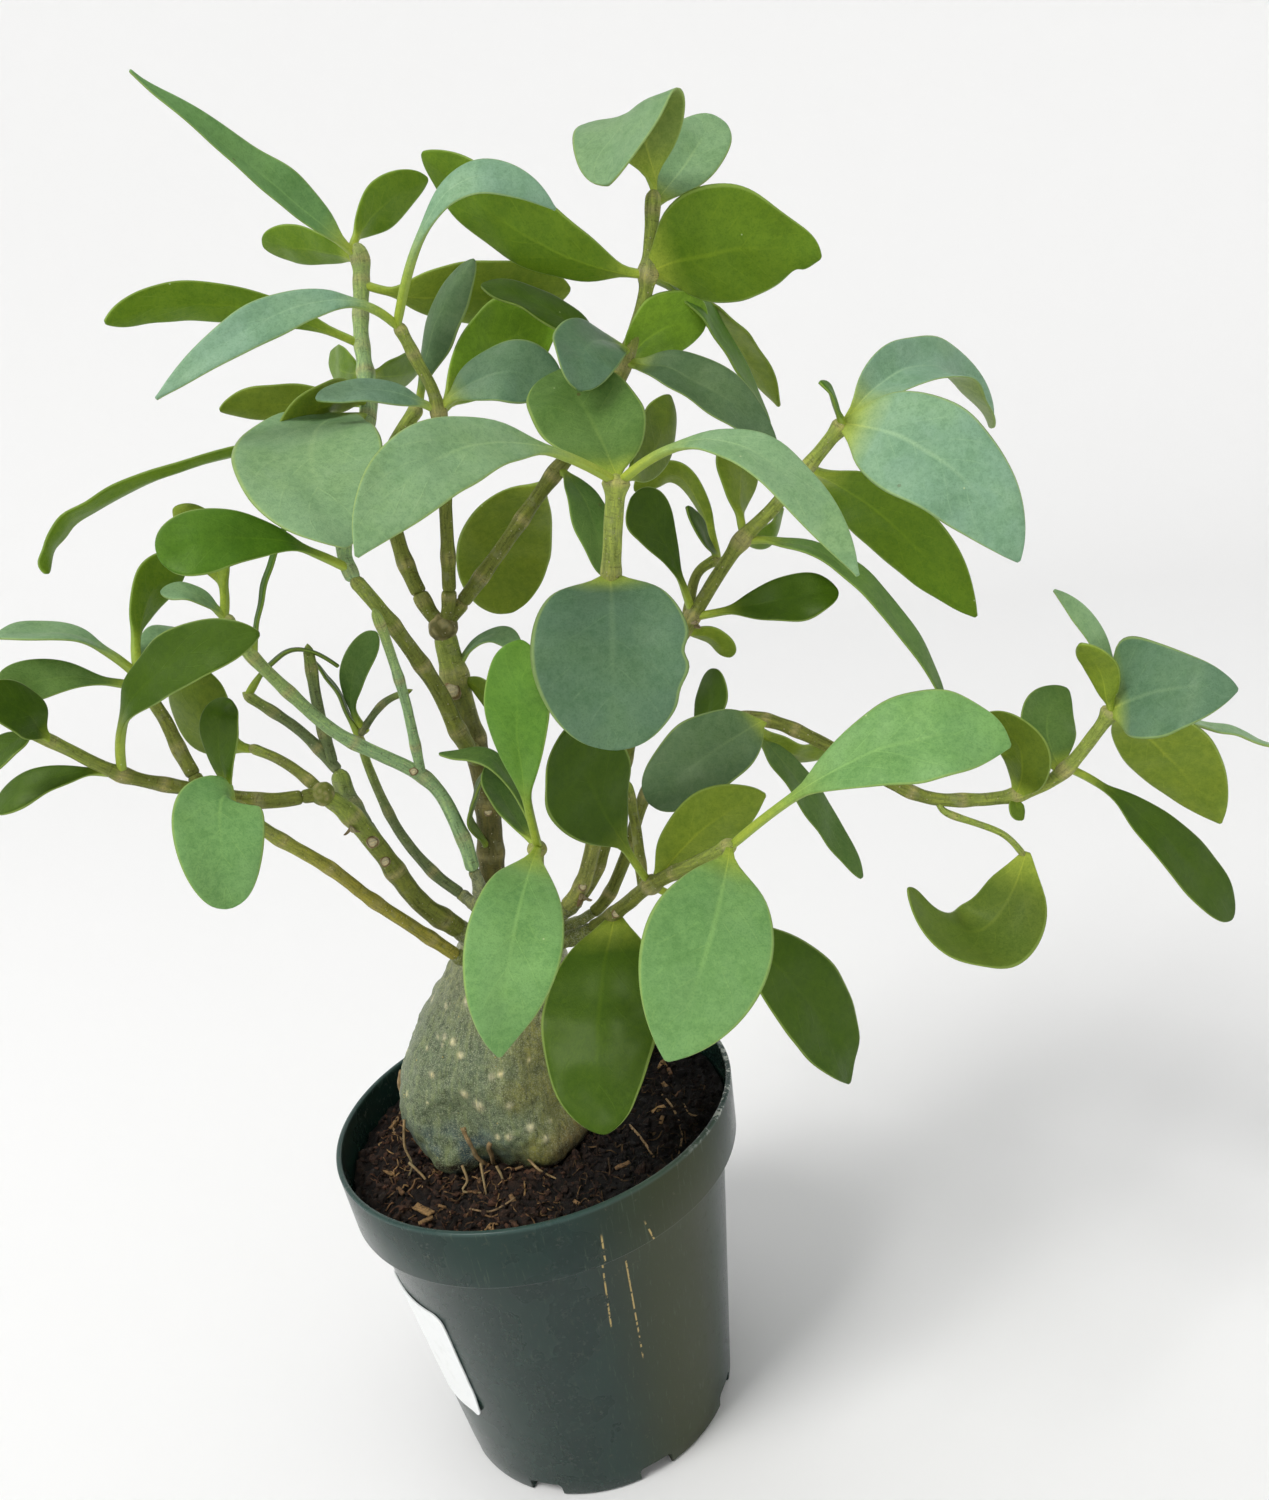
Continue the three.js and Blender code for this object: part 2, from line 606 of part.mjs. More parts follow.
// The label is a box bent round the pot's wall.
function labelSolid() {
  const sheet = new THREE.BoxGeometry(1, 1, 1, 6, 1, 2);
  return toSolid(remap(sheet, (x, y, z) => {
    const height = labelBottom + (z + 0.5) * labelHeight;
    const radius = outerRadius(height) + seam + (y + 0.5) * labelThickness;
    const angle = degToRad(labelMiddleAngle) - x * labelWidth / outerRadius(labelBottom);
    return new THREE.Vector3(radius * Math.cos(angle), radius * Math.sin(angle), height);
  }));
}

// Every shoot begins a seam above its foot, and the foot joins what it grows on.
const solids = new Map([['caudex', plantFoot(0)]]);
for (const { name, foot, stems: [main, ...others], leaves } of shoots) {
  const side = others.map((part) => ('line' in part ? stemSolid(part) : knuckleSolid(part)));
  const pieces = [...side, ...leaves.map(leafSolid)];
  solids.set(name, pieces.reduce((solid, piece) => solid.add(piece), stemSolid(main, foot + seam)));
}
for (const { on, foot, stems } of shoots) {
  solids.set(on, solids.get(on).add(stemSolid(stems[0], 0, foot)));
}

const group = new THREE.Group();

function addPiece(name, solid, colour, roughness) {
  const material = new THREE.MeshStandardMaterial({ color: colour, roughness, metalness: 0 });
  const mesh = new THREE.Mesh(toGeometry(solid), material);
  mesh.name = name;
  group.add(mesh);
}

addPiece('pot', potSolid(), 0x2f4a40, 0.35);
addPiece('blank_label', labelSolid(), 0xf2f2ee, 0.5);
addPiece('soil', soilSolid(), 0x2b1f17, 0.95);
addPiece('caudex', solids.get('caudex'), 0x6a7657, 0.7);
for (const { name } of shoots) {
  addPiece(name, solids.get(name), 0x4f8a4a, 0.45);
}

export default group;
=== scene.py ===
# %% [markdown]
# # A potted ant plant
# The plant is an ant plant, *Hydnophytum papuanum*: a swollen grey-green tuber that stands in a
# nursery pot, with long stems of leathery leaves growing from its crown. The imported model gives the
# size and place of every piece. This script makes the finer pieces that are seen instead, and
# paints them. Lengths in the plan are in millimetres, as they are measured on a plant; Blender
# works in metres.

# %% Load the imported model
import bisect
import math
import random

import bmesh
import bpy
from mathutils import Matrix, Vector, noise

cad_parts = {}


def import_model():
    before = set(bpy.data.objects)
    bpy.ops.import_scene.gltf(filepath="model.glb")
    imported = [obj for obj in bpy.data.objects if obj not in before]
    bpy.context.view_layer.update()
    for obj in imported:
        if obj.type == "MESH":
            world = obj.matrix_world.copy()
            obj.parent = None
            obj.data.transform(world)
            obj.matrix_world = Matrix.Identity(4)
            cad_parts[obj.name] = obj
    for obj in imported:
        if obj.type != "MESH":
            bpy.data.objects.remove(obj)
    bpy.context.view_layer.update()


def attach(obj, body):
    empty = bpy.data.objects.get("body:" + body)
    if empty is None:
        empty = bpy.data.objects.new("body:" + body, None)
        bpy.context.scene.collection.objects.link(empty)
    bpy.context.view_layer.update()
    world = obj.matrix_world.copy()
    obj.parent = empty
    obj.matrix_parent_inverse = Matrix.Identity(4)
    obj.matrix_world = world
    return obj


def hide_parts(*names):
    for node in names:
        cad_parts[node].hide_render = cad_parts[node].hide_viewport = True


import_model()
MM = 0.001

# %% [markdown]
# ## The camera
# The picture looks down on the rim by about 16 degrees, from only 30 cm away, with the camera
# rolled a little. A short lens so close makes the near leaves large and the pot narrow sharply,
# so the distance matters as much as the direction. The lens is given for the long side of the
# picture, which is upright.

# %% Camera
LENS = 27.5
LOOK_DOWN = math.radians(15.7)
CAMERA_ROLL = math.radians(-10.8)
EYE = Vector((43.2, -269.0, 256.9)) * MM

camera_data = bpy.data.cameras.new("camera")
camera_data.lens = LENS
camera_data.sensor_fit = "VERTICAL"
camera_data.sensor_height = 36
camera_data.clip_start = 0.01
camera = bpy.data.objects.new("camera", camera_data)
turn = Matrix.Rotation(math.pi / 2 - LOOK_DOWN, 4, "X") @ Matrix.Rotation(CAMERA_ROLL, 4, "Z")
camera.matrix_world = Matrix.Translation(EYE) @ turn
bpy.context.scene.collection.objects.link(camera)
bpy.context.scene.camera = camera
print("camera axes:", [[round(value, 3) for value in row] for row in turn.to_3x3().transposed()])

# %% [markdown]
# ## Floor and light
# A plain pale floor that curves up all round has no edge in any view, like a photographer's
# sweep. One large soft light stands high on the left, where the leaves shine, and a weaker, wider
# one fills the shadows from above. Large lights close by give soft shadows and long, quiet
# reflections in the pot.

# %% Floor
FLAT_RADIUS = 1.1
SWEEP_RADIUS = 0.7
WALL_HEIGHT = 1.3


def make_floor():
    """A flat disc that curves up into a round wall, turned from its half outline."""
    bm = bmesh.new()
    outline = [bm.verts.new((0, 0, 0)), bm.verts.new((FLAT_RADIUS, 0, 0))]
    for step in range(1, 13):
        angle = step / 12 * math.pi / 2
        across = FLAT_RADIUS + SWEEP_RADIUS * math.sin(angle)
        outline.append(bm.verts.new((across, 0, SWEEP_RADIUS * (1 - math.cos(angle)))))
    outline.append(bm.verts.new((FLAT_RADIUS + SWEEP_RADIUS, 0, WALL_HEIGHT)))
    edges = [bm.edges.new(pair) for pair in zip(outline, outline[1:])]
    bmesh.ops.spin(bm, geom=outline + edges, cent=(0, 0, 0), axis=(0, 0, 1), angle=2 * math.pi,
                   steps=96, use_merge=True, dvec=(0, 0, 0))
    bmesh.ops.remove_doubles(bm, verts=bm.verts, dist=1e-5)
    bmesh.ops.recalc_face_normals(bm, faces=bm.faces)
    return bm


# %% Lights
def add_light(name, place, target, size, power, colour):
    """A square soft light that faces a target."""
    data = bpy.data.lights.new(name, "AREA")
    data.energy = power
    data.size = size
    data.color = colour
    light = bpy.data.objects.new(name, data)
    light.location = place
    light.rotation_euler = (Vector(target) - Vector(place)).to_track_quat("-Z", "Y").to_euler()
    bpy.context.scene.collection.objects.link(light)


PLANT_MIDDLE = (0.03, 0.0, 0.2)
add_light("window", (-1.3, -1.1, 2.5), PLANT_MIDDLE, 1.1, 55, (1.0, 0.99, 0.97))
add_light("sky", (0.2, 0.3, 3.0), PLANT_MIDDLE, 1.8, 12, (1.0, 1.0, 1.0))

world = bpy.data.worlds.new("studio")
world.use_nodes = True
world.node_tree.nodes["Background"].inputs["Color"].default_value = (0.97, 0.985, 1.0, 1)
world.node_tree.nodes["Background"].inputs["Strength"].default_value = 0.28
bpy.context.scene.world = world
bpy.context.scene.view_settings.view_transform = "Standard"

# %% [markdown]
# ## Painting with expressions
# A Blender material is a network of nodes. Written out link by link it is hard to read, so a small
# class wraps a socket and takes part in Python's arithmetic: `0.4 + 0.2 * patches` adds the two
# Math nodes. Colours pass through Mix nodes, since a Math node would turn them grey. Every
# other node comes from one method that takes its type, its settings and its sockets' values.

# %% Shader helpers
def shade(code):
    """A colour written as in a paint program, in the linear values that shaders use."""
    parts = [int(code[i:i + 2], 16) / 255 for i in (0, 2, 4)]
    return Vector([c / 12.92 if c <= 0.04045 else ((c + 0.055) / 1.055) ** 2.4 for c in parts])


def paint(code):
    return (*shade(code), 1)


class Wire:
    """A socket that carries a number, a vector or a colour."""

    def __init__(self, finish, socket):
        self.finish = finish
        self.socket = socket

    def sum(self, operation, *values):
        return self.finish.node("Math", {"operation": operation}, dict(enumerate(values)))

    def __add__(self, other):
        return self.sum("ADD", self, other)

    def __radd__(self, other):
        return self.sum("ADD", other, self)

    def __sub__(self, other):
        return self.sum("SUBTRACT", self, other)

    def __rsub__(self, other):
        return self.sum("SUBTRACT", other, self)

    def __mul__(self, other):
        return self.sum("MULTIPLY", self, other)

    def __rmul__(self, other):
        return self.sum("MULTIPLY", other, self)

    def __truediv__(self, other):
        return self.sum("DIVIDE", self, other)

    def __abs__(self):
        return self.sum("ABSOLUTE", self)

    def ramp(self, low, high):
        """0 below low, 1 above high, and smooth between; low may be the greater one."""
        kind = {"interpolation_type": "SMOOTHSTEP"}
        if low < high:
            return self.finish.node("MapRange", kind, {0: self, 1: low, 2: high})
        return 1 - self.finish.node("MapRange", kind, {0: self, 1: high, 2: low})


class Finish:
    """One material. Its uniform values are set on the shader's own sockets."""

    def __init__(self, name, **uniform):
        self.material = bpy.data.materials.new(name)
        self.material.use_nodes = True
        self.tree = self.material.node_tree
        self.shader = self.tree.nodes["Principled BSDF"]
        for socket, value in uniform.items():
            self.shader.inputs[socket.replace("_", " ")].default_value = value

    def node(self, kind, settings=None, inputs=None, out=0):
        """Adds a node of a type, with its settings, then the values or wires of its sockets."""
        made = self.tree.nodes.new("ShaderNode" + kind)
        for name, value in (settings or {}).items():
            setattr(made, name, value)
        for key, value in (inputs or {}).items():
            if isinstance(value, Wire):
                self.tree.links.new(value.socket, made.inputs[key])
            else:
                made.inputs[key].default_value = value
        return Wire(self, made.outputs[out])

    def place(self):
        """Where a point lies on the object, in metres."""
        return self.node("TexCoord", out="Object")

    def painted(self, name, out="Color"):
        """An attribute that the mesh carries at its vertices."""
        return self.node("Attribute", {"attribute_name": name}, out=out)

    def parts(self, vector):
        """The three numbers of a vector."""
        split = self.node("SeparateXYZ", None, {0: vector})
        return [Wire(self, socket) for socket in split.socket.node.outputs]

    def scaled(self, vector, factors):
        return self.node("VectorMath", {"operation": "MULTIPLY"}, {0: vector, 1: factors})

    def cloud(self, size_mm, detail=2.0, roughness=0.5, at=None):
        """Soft patches of about this size, from 0 to 1."""
        scale = 1 if at else 1 / (size_mm * MM)
        values = {"Vector": at or self.place(), "Scale": scale, "Detail": detail, "Roughness": roughness}
        return self.node("TexNoise", None, values)

    def dots(self, spacing_mm, share, radius_mm, at=None):
        """Round dots, in this share of the cells of a scattered pattern: 1 inside a dot."""
        values = {"Vector": at or self.place(), "Scale": 1 / (spacing_mm * MM)}
        near = self.node("TexVoronoi", None, values, out="Distance")
        colour = self.node("TexVoronoi", None, values, out="Color")
        chosen = self.parts(colour)[0].ramp(share + 0.02, share)
        edge = radius_mm / spacing_mm
        return chosen * near.ramp(edge * 1.15, edge * 0.75)

    def mix(self, share, under, over):
        """A colour that goes from under to over as share goes from 0 to 1."""
        return self.node("Mix", {"data_type": "RGBA"}, {0: share, 6: under, 7: over}, out=2)

    def relief(self, height, depth_mm, strength=1.0):
        """Fine relief, from a height between 0 and 1."""
        values = {"Height": height, "Distance": depth_mm * MM, "Strength": strength}
        bump = self.node("Bump", None, values)
        self.tree.links.new(bump.socket, self.shader.inputs["Normal"])

    def wear(self, **wires):
        """Feeds the shader's sockets that vary over the surface."""
        for socket, wire in wires.items():
            self.tree.links.new(wire.socket, self.shader.inputs[socket.replace("_", " ")])
        return self.material


floor_finish = Finish("sweep", Base_Color=paint("f4f4f4"), Roughness=0.9)
floor_mesh = bpy.data.meshes.new("floor")
make_floor().to_mesh(floor_mesh)
floor_mesh.materials.append(floor_finish.material)
for polygon in floor_mesh.polygons:
    polygon.use_smooth = True
floor = bpy.data.objects.new("floor", floor_mesh)
bpy.context.scene.collection.objects.link(floor)
print("floor faces:", len(floor_mesh.polygons))

# %% [markdown]
# ## Making pieces
# Every piece is a bmesh that operators start and shape. Two things are written at each vertex for
# the materials to read: `tint`, its own colour, and `grain`, where it lies along and across the
# leaf or round the stem. They follow the surface however it bends, which a pattern in plain
# coordinates doesn't.

# %% Piece helpers
def start_piece():
    """An empty bmesh whose vertices carry a tint and a grain."""
    bm = bmesh.new()
    bm.verts.layers.float_color.new("tint")
    bm.verts.layers.float_vector.new("grain")
    return bm


def record(bm, vertex, tint, grain):
    vertex[bm.verts.layers.float_color["tint"]] = (*tint, 1)
    vertex[bm.verts.layers.float_vector["grain"]] = grain


def join(bm, part, material_index=0):
    """Adds a part, modelled as a bmesh of its own, to a piece."""
    for face in part.faces:
        face.material_index = material_index
    mesh = bpy.data.meshes.new("part")
    part.to_mesh(mesh)
    part.free()
    bm.from_mesh(mesh)
    bpy.data.meshes.remove(mesh)


def finish_piece(bm, name, materials, slot, *nodes, subdivide=0, smooth=True):
    """Turns the bmesh into an object that stands for its CAD nodes."""
    bmesh.ops.recalc_face_normals(bm, faces=bm.faces)
    for face in bm.faces:
        face.smooth = smooth
    mesh = bpy.data.meshes.new(name)
    bm.to_mesh(mesh)
    bm.free()
    for material in materials:
        mesh.materials.append(material)
    piece = bpy.data.objects.new(name, mesh)
    bpy.context.scene.collection.objects.link(piece)
    if subdivide:
        modifier = piece.modifiers.new("smooth", "SUBSURF")
        modifier.levels = modifier.render_levels = subdivide
    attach(piece, "root")
    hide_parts(*nodes)
    triangles = sum(len(polygon.vertices) - 2 for polygon in mesh.polygons) * 4 ** subdivide
    print(f"{name}: about {triangles} triangles")
    return piece


def mixed(a, b, share):
    """A value between two, by a share from 0 to 1."""
    return a + (b - a) * share


def smooth_share(low, high, value):
    """0 at low, 1 at high, and smooth between."""
    share = min(1.0, max(0.0, (value - low) / (high - low)))
    return share * share * (3 - 2 * share)


# %% [markdown]
# ## The colours of the plant
# The upper side of a leaf and its underside differ, and so do young and old leaves: young ones are bright,
# some are covered by a pale bloom, and old ones are deep green. The second colour of each tone, for the
# underside, is yellower: partly the underside's own colour and partly painted light that shines through the
# leaf. Each leaf of the plan names one of these tones. The stems are green when young and turn olive and
# brown with age.

# %% Tones of leaves and stems
STALK = shade("9aac3f")
SAGE = (shade("7b9d70"), shade("84984c"))
FRESH = (shade("6f9a5b"), shade("7d9745"))
BLUE = (shade("7a9e80"), shade("7f9650"))
SLATE = (shade("5b7b5e"), shade("6d8548"))
DUSTY = (shade("556f4d"), shade("5e7536"))
DEEP = (shade("39540c"), shade("546c1f"))
MID = (shade("58773a"), shade("617d2a"))
GREEN = (shade("4a711c"), shade("61801d"))
BRIGHT = (shade("5a8530"), shade("749a28"))
OLIVE = (shade("63792c"), shade("74882a"))
DARK_OLIVE = (shade("58701f"), shade("56691a"))

YOUNG_BARK = shade("8ea04c")
OLIVE_BARK = shade("6c7434")
YELLOW_BARK = shade("8f8a3c")
BROWN_BARK = shade("5c5833")
GREY_BARK = shade("65734e")
PALE_BARK = shade("8aa878")
CORKY_BARK = shade("858a4a")
NODE_RING = shade("a89d70")
print("leaf tones: 11, bark tones: 7")

# %% [markdown]
# ## A leaf
# The leaves are leathery, about a millimetre thick, on a short stalk. A leaf could be an extruded
# outline, but it has to arch and cup. So it is a grid that is extruded to a thin slab, whose
# points are then moved: along a bent midrib, out to the margin by a width that swells and closes,
# and up or down for the cup, the groove over the midrib and the slight waves of the margin. One
# level of subdivision rounds the edge.

# %% Outline of a leaf
# The stalk's share of the length, then how the blade widens and how it closes.
OVAL = (0.1, 0.8, 0.62)
BROAD = (0.08, 0.55, 0.45)
STALKED = (0.24, 0.95, 0.6)
SPOON = (0.16, 1.3, 0.5)
STRAP = (0.1, 0.6, 0.5)
DAGGER = (0.12, 0.45, 0.95)
ACUTE = (0.08, 0.7, 0.8)
DRAWN = (0.22, 1.0, 0.85)
DELTA = (0.05, 0.42, 0.75)
SHIELD = (0.04, 0.5, 0.62)
ROUND = (0.04, 0.58, 0.5)

STALK_HALF_WIDTH = 0.9
TIP_HALF_WIDTH = 0.35
ROWS = 22
COLUMNS = 10
UP = Vector((0, 0, 1))


def half_width(t, width, outline):
    """Half the width of a leaf in millimetres, t going from 0 at the stem to 1 at the tip."""
    stalk, widen, close = outline
    u = max(0.0, (t - stalk) / (1 - stalk))
    peak = widen / (widen + close)
    shape = u ** widen * (1 - u) ** close / (peak ** widen * (1 - peak) ** close)
    least = min(STALK_HALF_WIDTH, width / 3) if t < 0.5 else TIP_HALF_WIDTH
    return max(width / 2 * shape, least)


# %% Bend and paint a leaf
ROOT_DEPTH = 0.8
BLADE_THICKNESS = 1.0
MARGIN_THICKNESS = 0.6
STALK_THICKNESS = 1.7
GROOVE_DEPTH = 0.3
KEEL_DEPTH = 0.35
DENT_DEPTH = 1.3
DENT_SIZE = 8


class Midrib:
    """The bent middle line of a leaf, with the direction that its upper side faces."""

    def __init__(self, base, middle, tip, roll):
        self.base, self.tip = Vector(base), Vector(tip)
        self.pull = 2 * Vector(middle) - (self.base + self.tip) / 2
        chord = (self.tip - self.base).normalized()
        face = (UP - chord * UP.dot(chord)).normalized()
        self.face = Matrix.Rotation(math.radians(roll), 3, chord) @ face

    def at(self, t):
        """The point at t, and the directions along, across and up there."""
        point = (1 - t) ** 2 * self.base + 2 * t * (1 - t) * self.pull + t * t * self.tip
        along = (2 * (1 - t) * (self.pull - self.base) + 2 * t * (self.tip - self.pull)).normalized()
        up = (self.face - along * self.face.dot(along)).normalized()
        return point, along, up.cross(along), up


def slab(rows, columns):
    """A grid extruded to a slab of one layer, from -0.5 to 0.5 all ways."""
    bm = start_piece()
    bmesh.ops.create_grid(bm, x_segments=rows, y_segments=columns, size=0.5)
    for vertex in bm.verts:
        vertex.co.z = -0.5
    for item in bmesh.ops.extrude_face_region(bm, geom=list(bm.faces), use_keep_orig=True)["geom"]:
        if isinstance(item, bmesh.types.BMVert):
            item.co.z = 0.5
    return bm


def add_leaf(bm, leaf, seed):
    """One leaf of the plan, with small differences drawn from its own seed."""
    draw = random.Random(seed)
    wave = draw.uniform(0.02, 0.09) * leaf["waves"]
    waves = draw.uniform(1.2, 2.4)
    phase = draw.uniform(0, 1)
    lean = draw.uniform(-0.05, 0.05)
    bright = draw.uniform(0.92, 1.08)
    width, outline = leaf["width"], leaf["outline"]
    midrib = Midrib(leaf["base"], leaf["middle"], leaf["tip"], leaf["roll"])
    upper_tint, lower_tint_with_light_through = leaf["tone"]
    stalk_end = outline[0]
    rib_length = (midrib.tip - midrib.base).length
    blade_part = slab(ROWS, COLUMNS if width > 9 else 6)
    for vertex in blade_part.verts:
        x, y, z = vertex.co
        t = 1 - (0.5 - x) ** 1.4
        across = 2 * y * (0.6 + 0.8 * abs(y))
        point, along, side, up = midrib.at(t)
        half = half_width(t, width, outline) * (1 + lean * across * math.sin(math.pi * t))
        for place, size, depth, edge in leaf["notches"]:
            if across * edge > 0:
                half *= 1 - depth * math.exp(-((t - place) / size) ** 2)
        blade = smooth_share(0.8 * stalk_end, 1.7 * stalk_end, t)
        thick = mixed(BLADE_THICKNESS, MARGIN_THICKNESS, across * across)
        thick = mixed(STALK_THICKNESS * (1 - 0.4 * across * across), thick, blade)
        near = math.exp(-(across * half / 0.9) ** 2) * (1 - t)
        relief = GROOVE_DEPTH * near * blade if z > 0 else KEEL_DEPTH * near
        lift = leaf["cup"] * half * abs(across) ** 1.5 - relief
        ripple = math.sin(2 * math.pi * (waves * t + phase) + (1.9 if across > 0 else 0))
        lift += wave * half * across * across * ripple * math.sin(math.pi * t)
        dent = Vector((t * rib_length / DENT_SIZE, across * half / DENT_SIZE, seed))
        lift += DENT_DEPTH * blade * noise.noise(dent)
        vertex.co = (point + side * half * across + up * (lift + z * thick)) * MM
        if t == 0:
            vertex.co -= along * ROOT_DEPTH * MM
        # The underside's tint is partly its own colour and partly painted light shining through the leaf.
        tint = (upper_tint if z > 0 else lower_tint_with_light_through) * bright
        young = mixed(STALK, tint, smooth_share(0.3 * stalk_end, stalk_end + 0.14, t))
        record(blade_part, vertex, young, (t, across, 1 if z > 0 else 0))
    join(bm, blade_part, 1)


# %% [markdown]
# ## A stem
# The stems swell at each node, where a pair of leaves sits or once sat, and the node keeps a pale
# ring. A curve object with a bevel would give a plain pipe, so a stem is a cylinder cut into many
# rings, which are laid along a smooth line through the plan's points. The radius at a ring
# tells of the nodes, the age and the knots of the bark.

# %% A line through a few points
class Line:
    """A smooth line through points in millimetres, measured along its length from the foot."""

    def __init__(self, points, steps=16):
        points = [Vector(point) for point in points]
        ends = [2 * points[0] - points[1], *points, 2 * points[-1] - points[-2]]
        self.spots = [points[0]]
        for a, b, c, d in zip(ends, ends[1:], ends[2:], ends[3:]):
            for step in range(1, steps + 1):
                t = step / steps
                bend = (2 * a - 5 * b + 4 * c - d) * t * t + (3 * b - a - 3 * c + d) * t ** 3
                self.spots.append((2 * b + (c - a) * t + bend) / 2)
        self.marks = [0.0]
        for a, b in zip(self.spots, self.spots[1:]):
            self.marks.append(self.marks[-1] + (b - a).length)
        self.length = self.marks[-1]

    def at(self, distance):
        """The point and the direction at a distance from the foot."""
        last = len(self.spots) - 2
        i = min(max(bisect.bisect_right(self.marks, distance) - 1, 0), last)
        share = (distance - self.marks[i]) / (self.marks[i + 1] - self.marks[i])
        before = self.spots[i + 1] - self.spots[max(i - 1, 0)]
        after = self.spots[min(i + 2, last + 1)] - self.spots[i]
        direction = mixed(before.normalized(), after.normalized(), min(1.0, max(0.0, share)))
        return mixed(self.spots[i], self.spots[i + 1], share), direction.normalized()

    def nearest(self, point):
        """How far along the line a point lies, and how far off it."""
        gaps = [(spot - Vector(point)).length for spot in self.spots]
        i = gaps.index(min(gaps))
        return self.marks[i], gaps[i]


# %% Lay a tube along a line
AWAY = Vector((0, 1, 0))


def add_tube(bm, line, start, end, radius, tint, sides=10, step=1.5, material_index=0):
    """A closed tube, whose radius and tint are functions of the distance and the angle."""
    tube = start_piece()
    bmesh.ops.create_cone(tube, cap_ends=True, segments=sides, radius1=1, radius2=1, depth=1)
    upright = [edge for edge in tube.edges if abs(edge.verts[0].co.z - edge.verts[1].co.z) > 0.5]
    bmesh.ops.subdivide_edges(tube, edges=upright, cuts=max(1, round((end - start) / step) - 1))
    for vertex in tube.verts:
        distance = mixed(start, end, vertex.co.z + 0.5)
        angle = math.atan2(vertex.co.y, vertex.co.x)
        point, along = line.at(distance)
        side = along.cross(AWAY).normalized()
        front = side.cross(along)
        out = side * math.cos(angle) + front * math.sin(angle)
        vertex.co = (point + out * radius(distance, angle)) * MM
        record(tube, vertex, tint(distance, angle), (distance, math.cos(angle), math.sin(angle)))
    join(bm, tube, material_index)


# %% A stem with its nodes
NODE_SWELLING = 0.2
NODE_LENGTH = 1.7
NODE_SPACING = (12, 20)
NODE_CLEARANCE = 6


def node_places(line, start, leaves, draw):
    """Distances of the nodes: where leaves sit, and at natural spacings between them."""
    places = []
    for leaf in leaves:
        distance, gap = line.nearest(leaf["base"])
        if gap < 4 and distance > start + 2:
            places.append(distance)
    distance = start + draw.uniform(*NODE_SPACING) / 2
    while distance < line.length - 3:
        if all(abs(distance - place) > NODE_CLEARANCE for place in places):
            places.append(distance)
        distance += draw.uniform(*NODE_SPACING)
    return places


def add_stem(bm, stem, start, end, leaves, seed):
    """One stem of the plan, between two distances from its foot."""
    draw = random.Random(seed)
    line = stem["line"]
    places = node_places(line, start, leaves, draw)
    end = min(end, line.length)
    shift = draw.uniform(0, 50)

    def nodes_at(distance, length):
        return sum(math.exp(-((distance - place) / length) ** 2) for place in places)

    def radius(distance, angle):
        size = mixed(stem["foot_radius"], stem["end_radius"], distance / line.length)
        knots = noise.noise(Vector((distance / 3 + shift, 1.3 * math.cos(angle), 1.3 * math.sin(angle))))
        shape = 1 + NODE_SWELLING * nodes_at(distance, NODE_LENGTH) + 0.09 * knots
        shape += 0.03 * math.cos(4 * angle)
        left = (line.length - distance) / size
        return size * shape * (math.sqrt(max(0.0, 1 - (1 - left) ** 2)) if left < 1 else 1)

    def tint(distance, angle):
        young = smooth_share(0.55, 1.0, distance / line.length) * (0.75 if leaves else 0.2)
        bark = mixed(stem["bark"], YOUNG_BARK, young)
        return mixed(bark, NODE_RING, 0.55 * min(1.0, nodes_at(distance, 0.8)))

    add_tube(bm, line, start, end, radius, tint)


def add_knuckle(bm, knuckle, bark):
    """The swollen joint at the end of a stem that forks."""
    centre = Vector(knuckle["centre"]) * MM
    ball = bmesh.ops.create_icosphere(bm, subdivisions=3, radius=knuckle["radius"] * MM)["verts"]
    for vertex in ball:
        lumps = 1 + 0.12 * noise.noise(vertex.co / (1.6 * MM))
        pale = smooth_share(0.0, 0.35, noise.noise(vertex.co / (1.1 * MM)))
        record(bm, vertex, mixed(bark, NODE_RING, 0.6 * pale), (0, 0, 0))
        vertex.co = centre + vertex.co * lumps


# %% [markdown]
# ## The plan of the plant
# Each row below is one stem or one leaf, measured on the plant. A shoot says what it grows on and
# how many millimetres of its foot belong to that piece. A stem has the radius at its foot and at
# its end, then the points of its line. A leaf has its base, middle and tip, its width, how far it
# is rolled about its length, its outline and its tone.

# %% Words of the plan
shoots = []


def stem(foot_radius, end_radius, points, bark):
    return {"line": Line(points), "foot_radius": foot_radius, "end_radius": end_radius, "bark": bark}


def knuckle(radius, centre):
    return {"radius": radius, "centre": centre}


def leaf(base, middle, tip, width, roll, outline, tone, cup=0.1, waves=1.0, notches=()):
    return {"base": base, "middle": middle, "tip": tip, "width": width, "roll": roll,
            "outline": outline, "tone": tone, "cup": cup, "waves": waves, "notches": notches}


def shoot(name, on, foot, stems, leaves):
    shoots.append({"name": name, "on": on, "foot": foot, "stems": stems, "leaves": leaves})


# %% Shoots on the left
shoot("left_low_stem", "caudex", 12, [
    stem(1.8, 1.5, [(-6, -2, 131), (-10, -8, 141), (-23, -18, 162), (-29, -24, 174),
         (-38, -32, 188), (-42, -36, 197)], YELLOW_BARK),
], [
    # Round hanging
    leaf((-42, -36, 196), (-42, -44, 197), (-45, -46, 177), 18, -35, BROAD, FRESH),
    # Small dark oval
    leaf((-42, -36, 196), (-40, -38, 211), (-36, -36, 218), 10, 65, OVAL, DEEP),
])

shoot("left_stem", "caudex", 12, [
    stem(2.8, 2.3, [(-4, 2, 135), (-8, -2, 144), (-15, -8, 156), (-20, -12, 172), (-24, -15, 183),
         (-28, -18, 190)], OLIVE_BARK),
    stem(1.4, 1.2, [(-27, -18, 189), (-36, -12, 197), (-45, -8, 202)], OLIVE_BARK),
    knuckle(2.8, (-28, -18, 190)),
], [
    # Olive upright
    leaf((-44, -8, 201), (-53, -10, 209), (-47, -12, 221), 17, 15, BROAD, DARK_OLIVE),
])

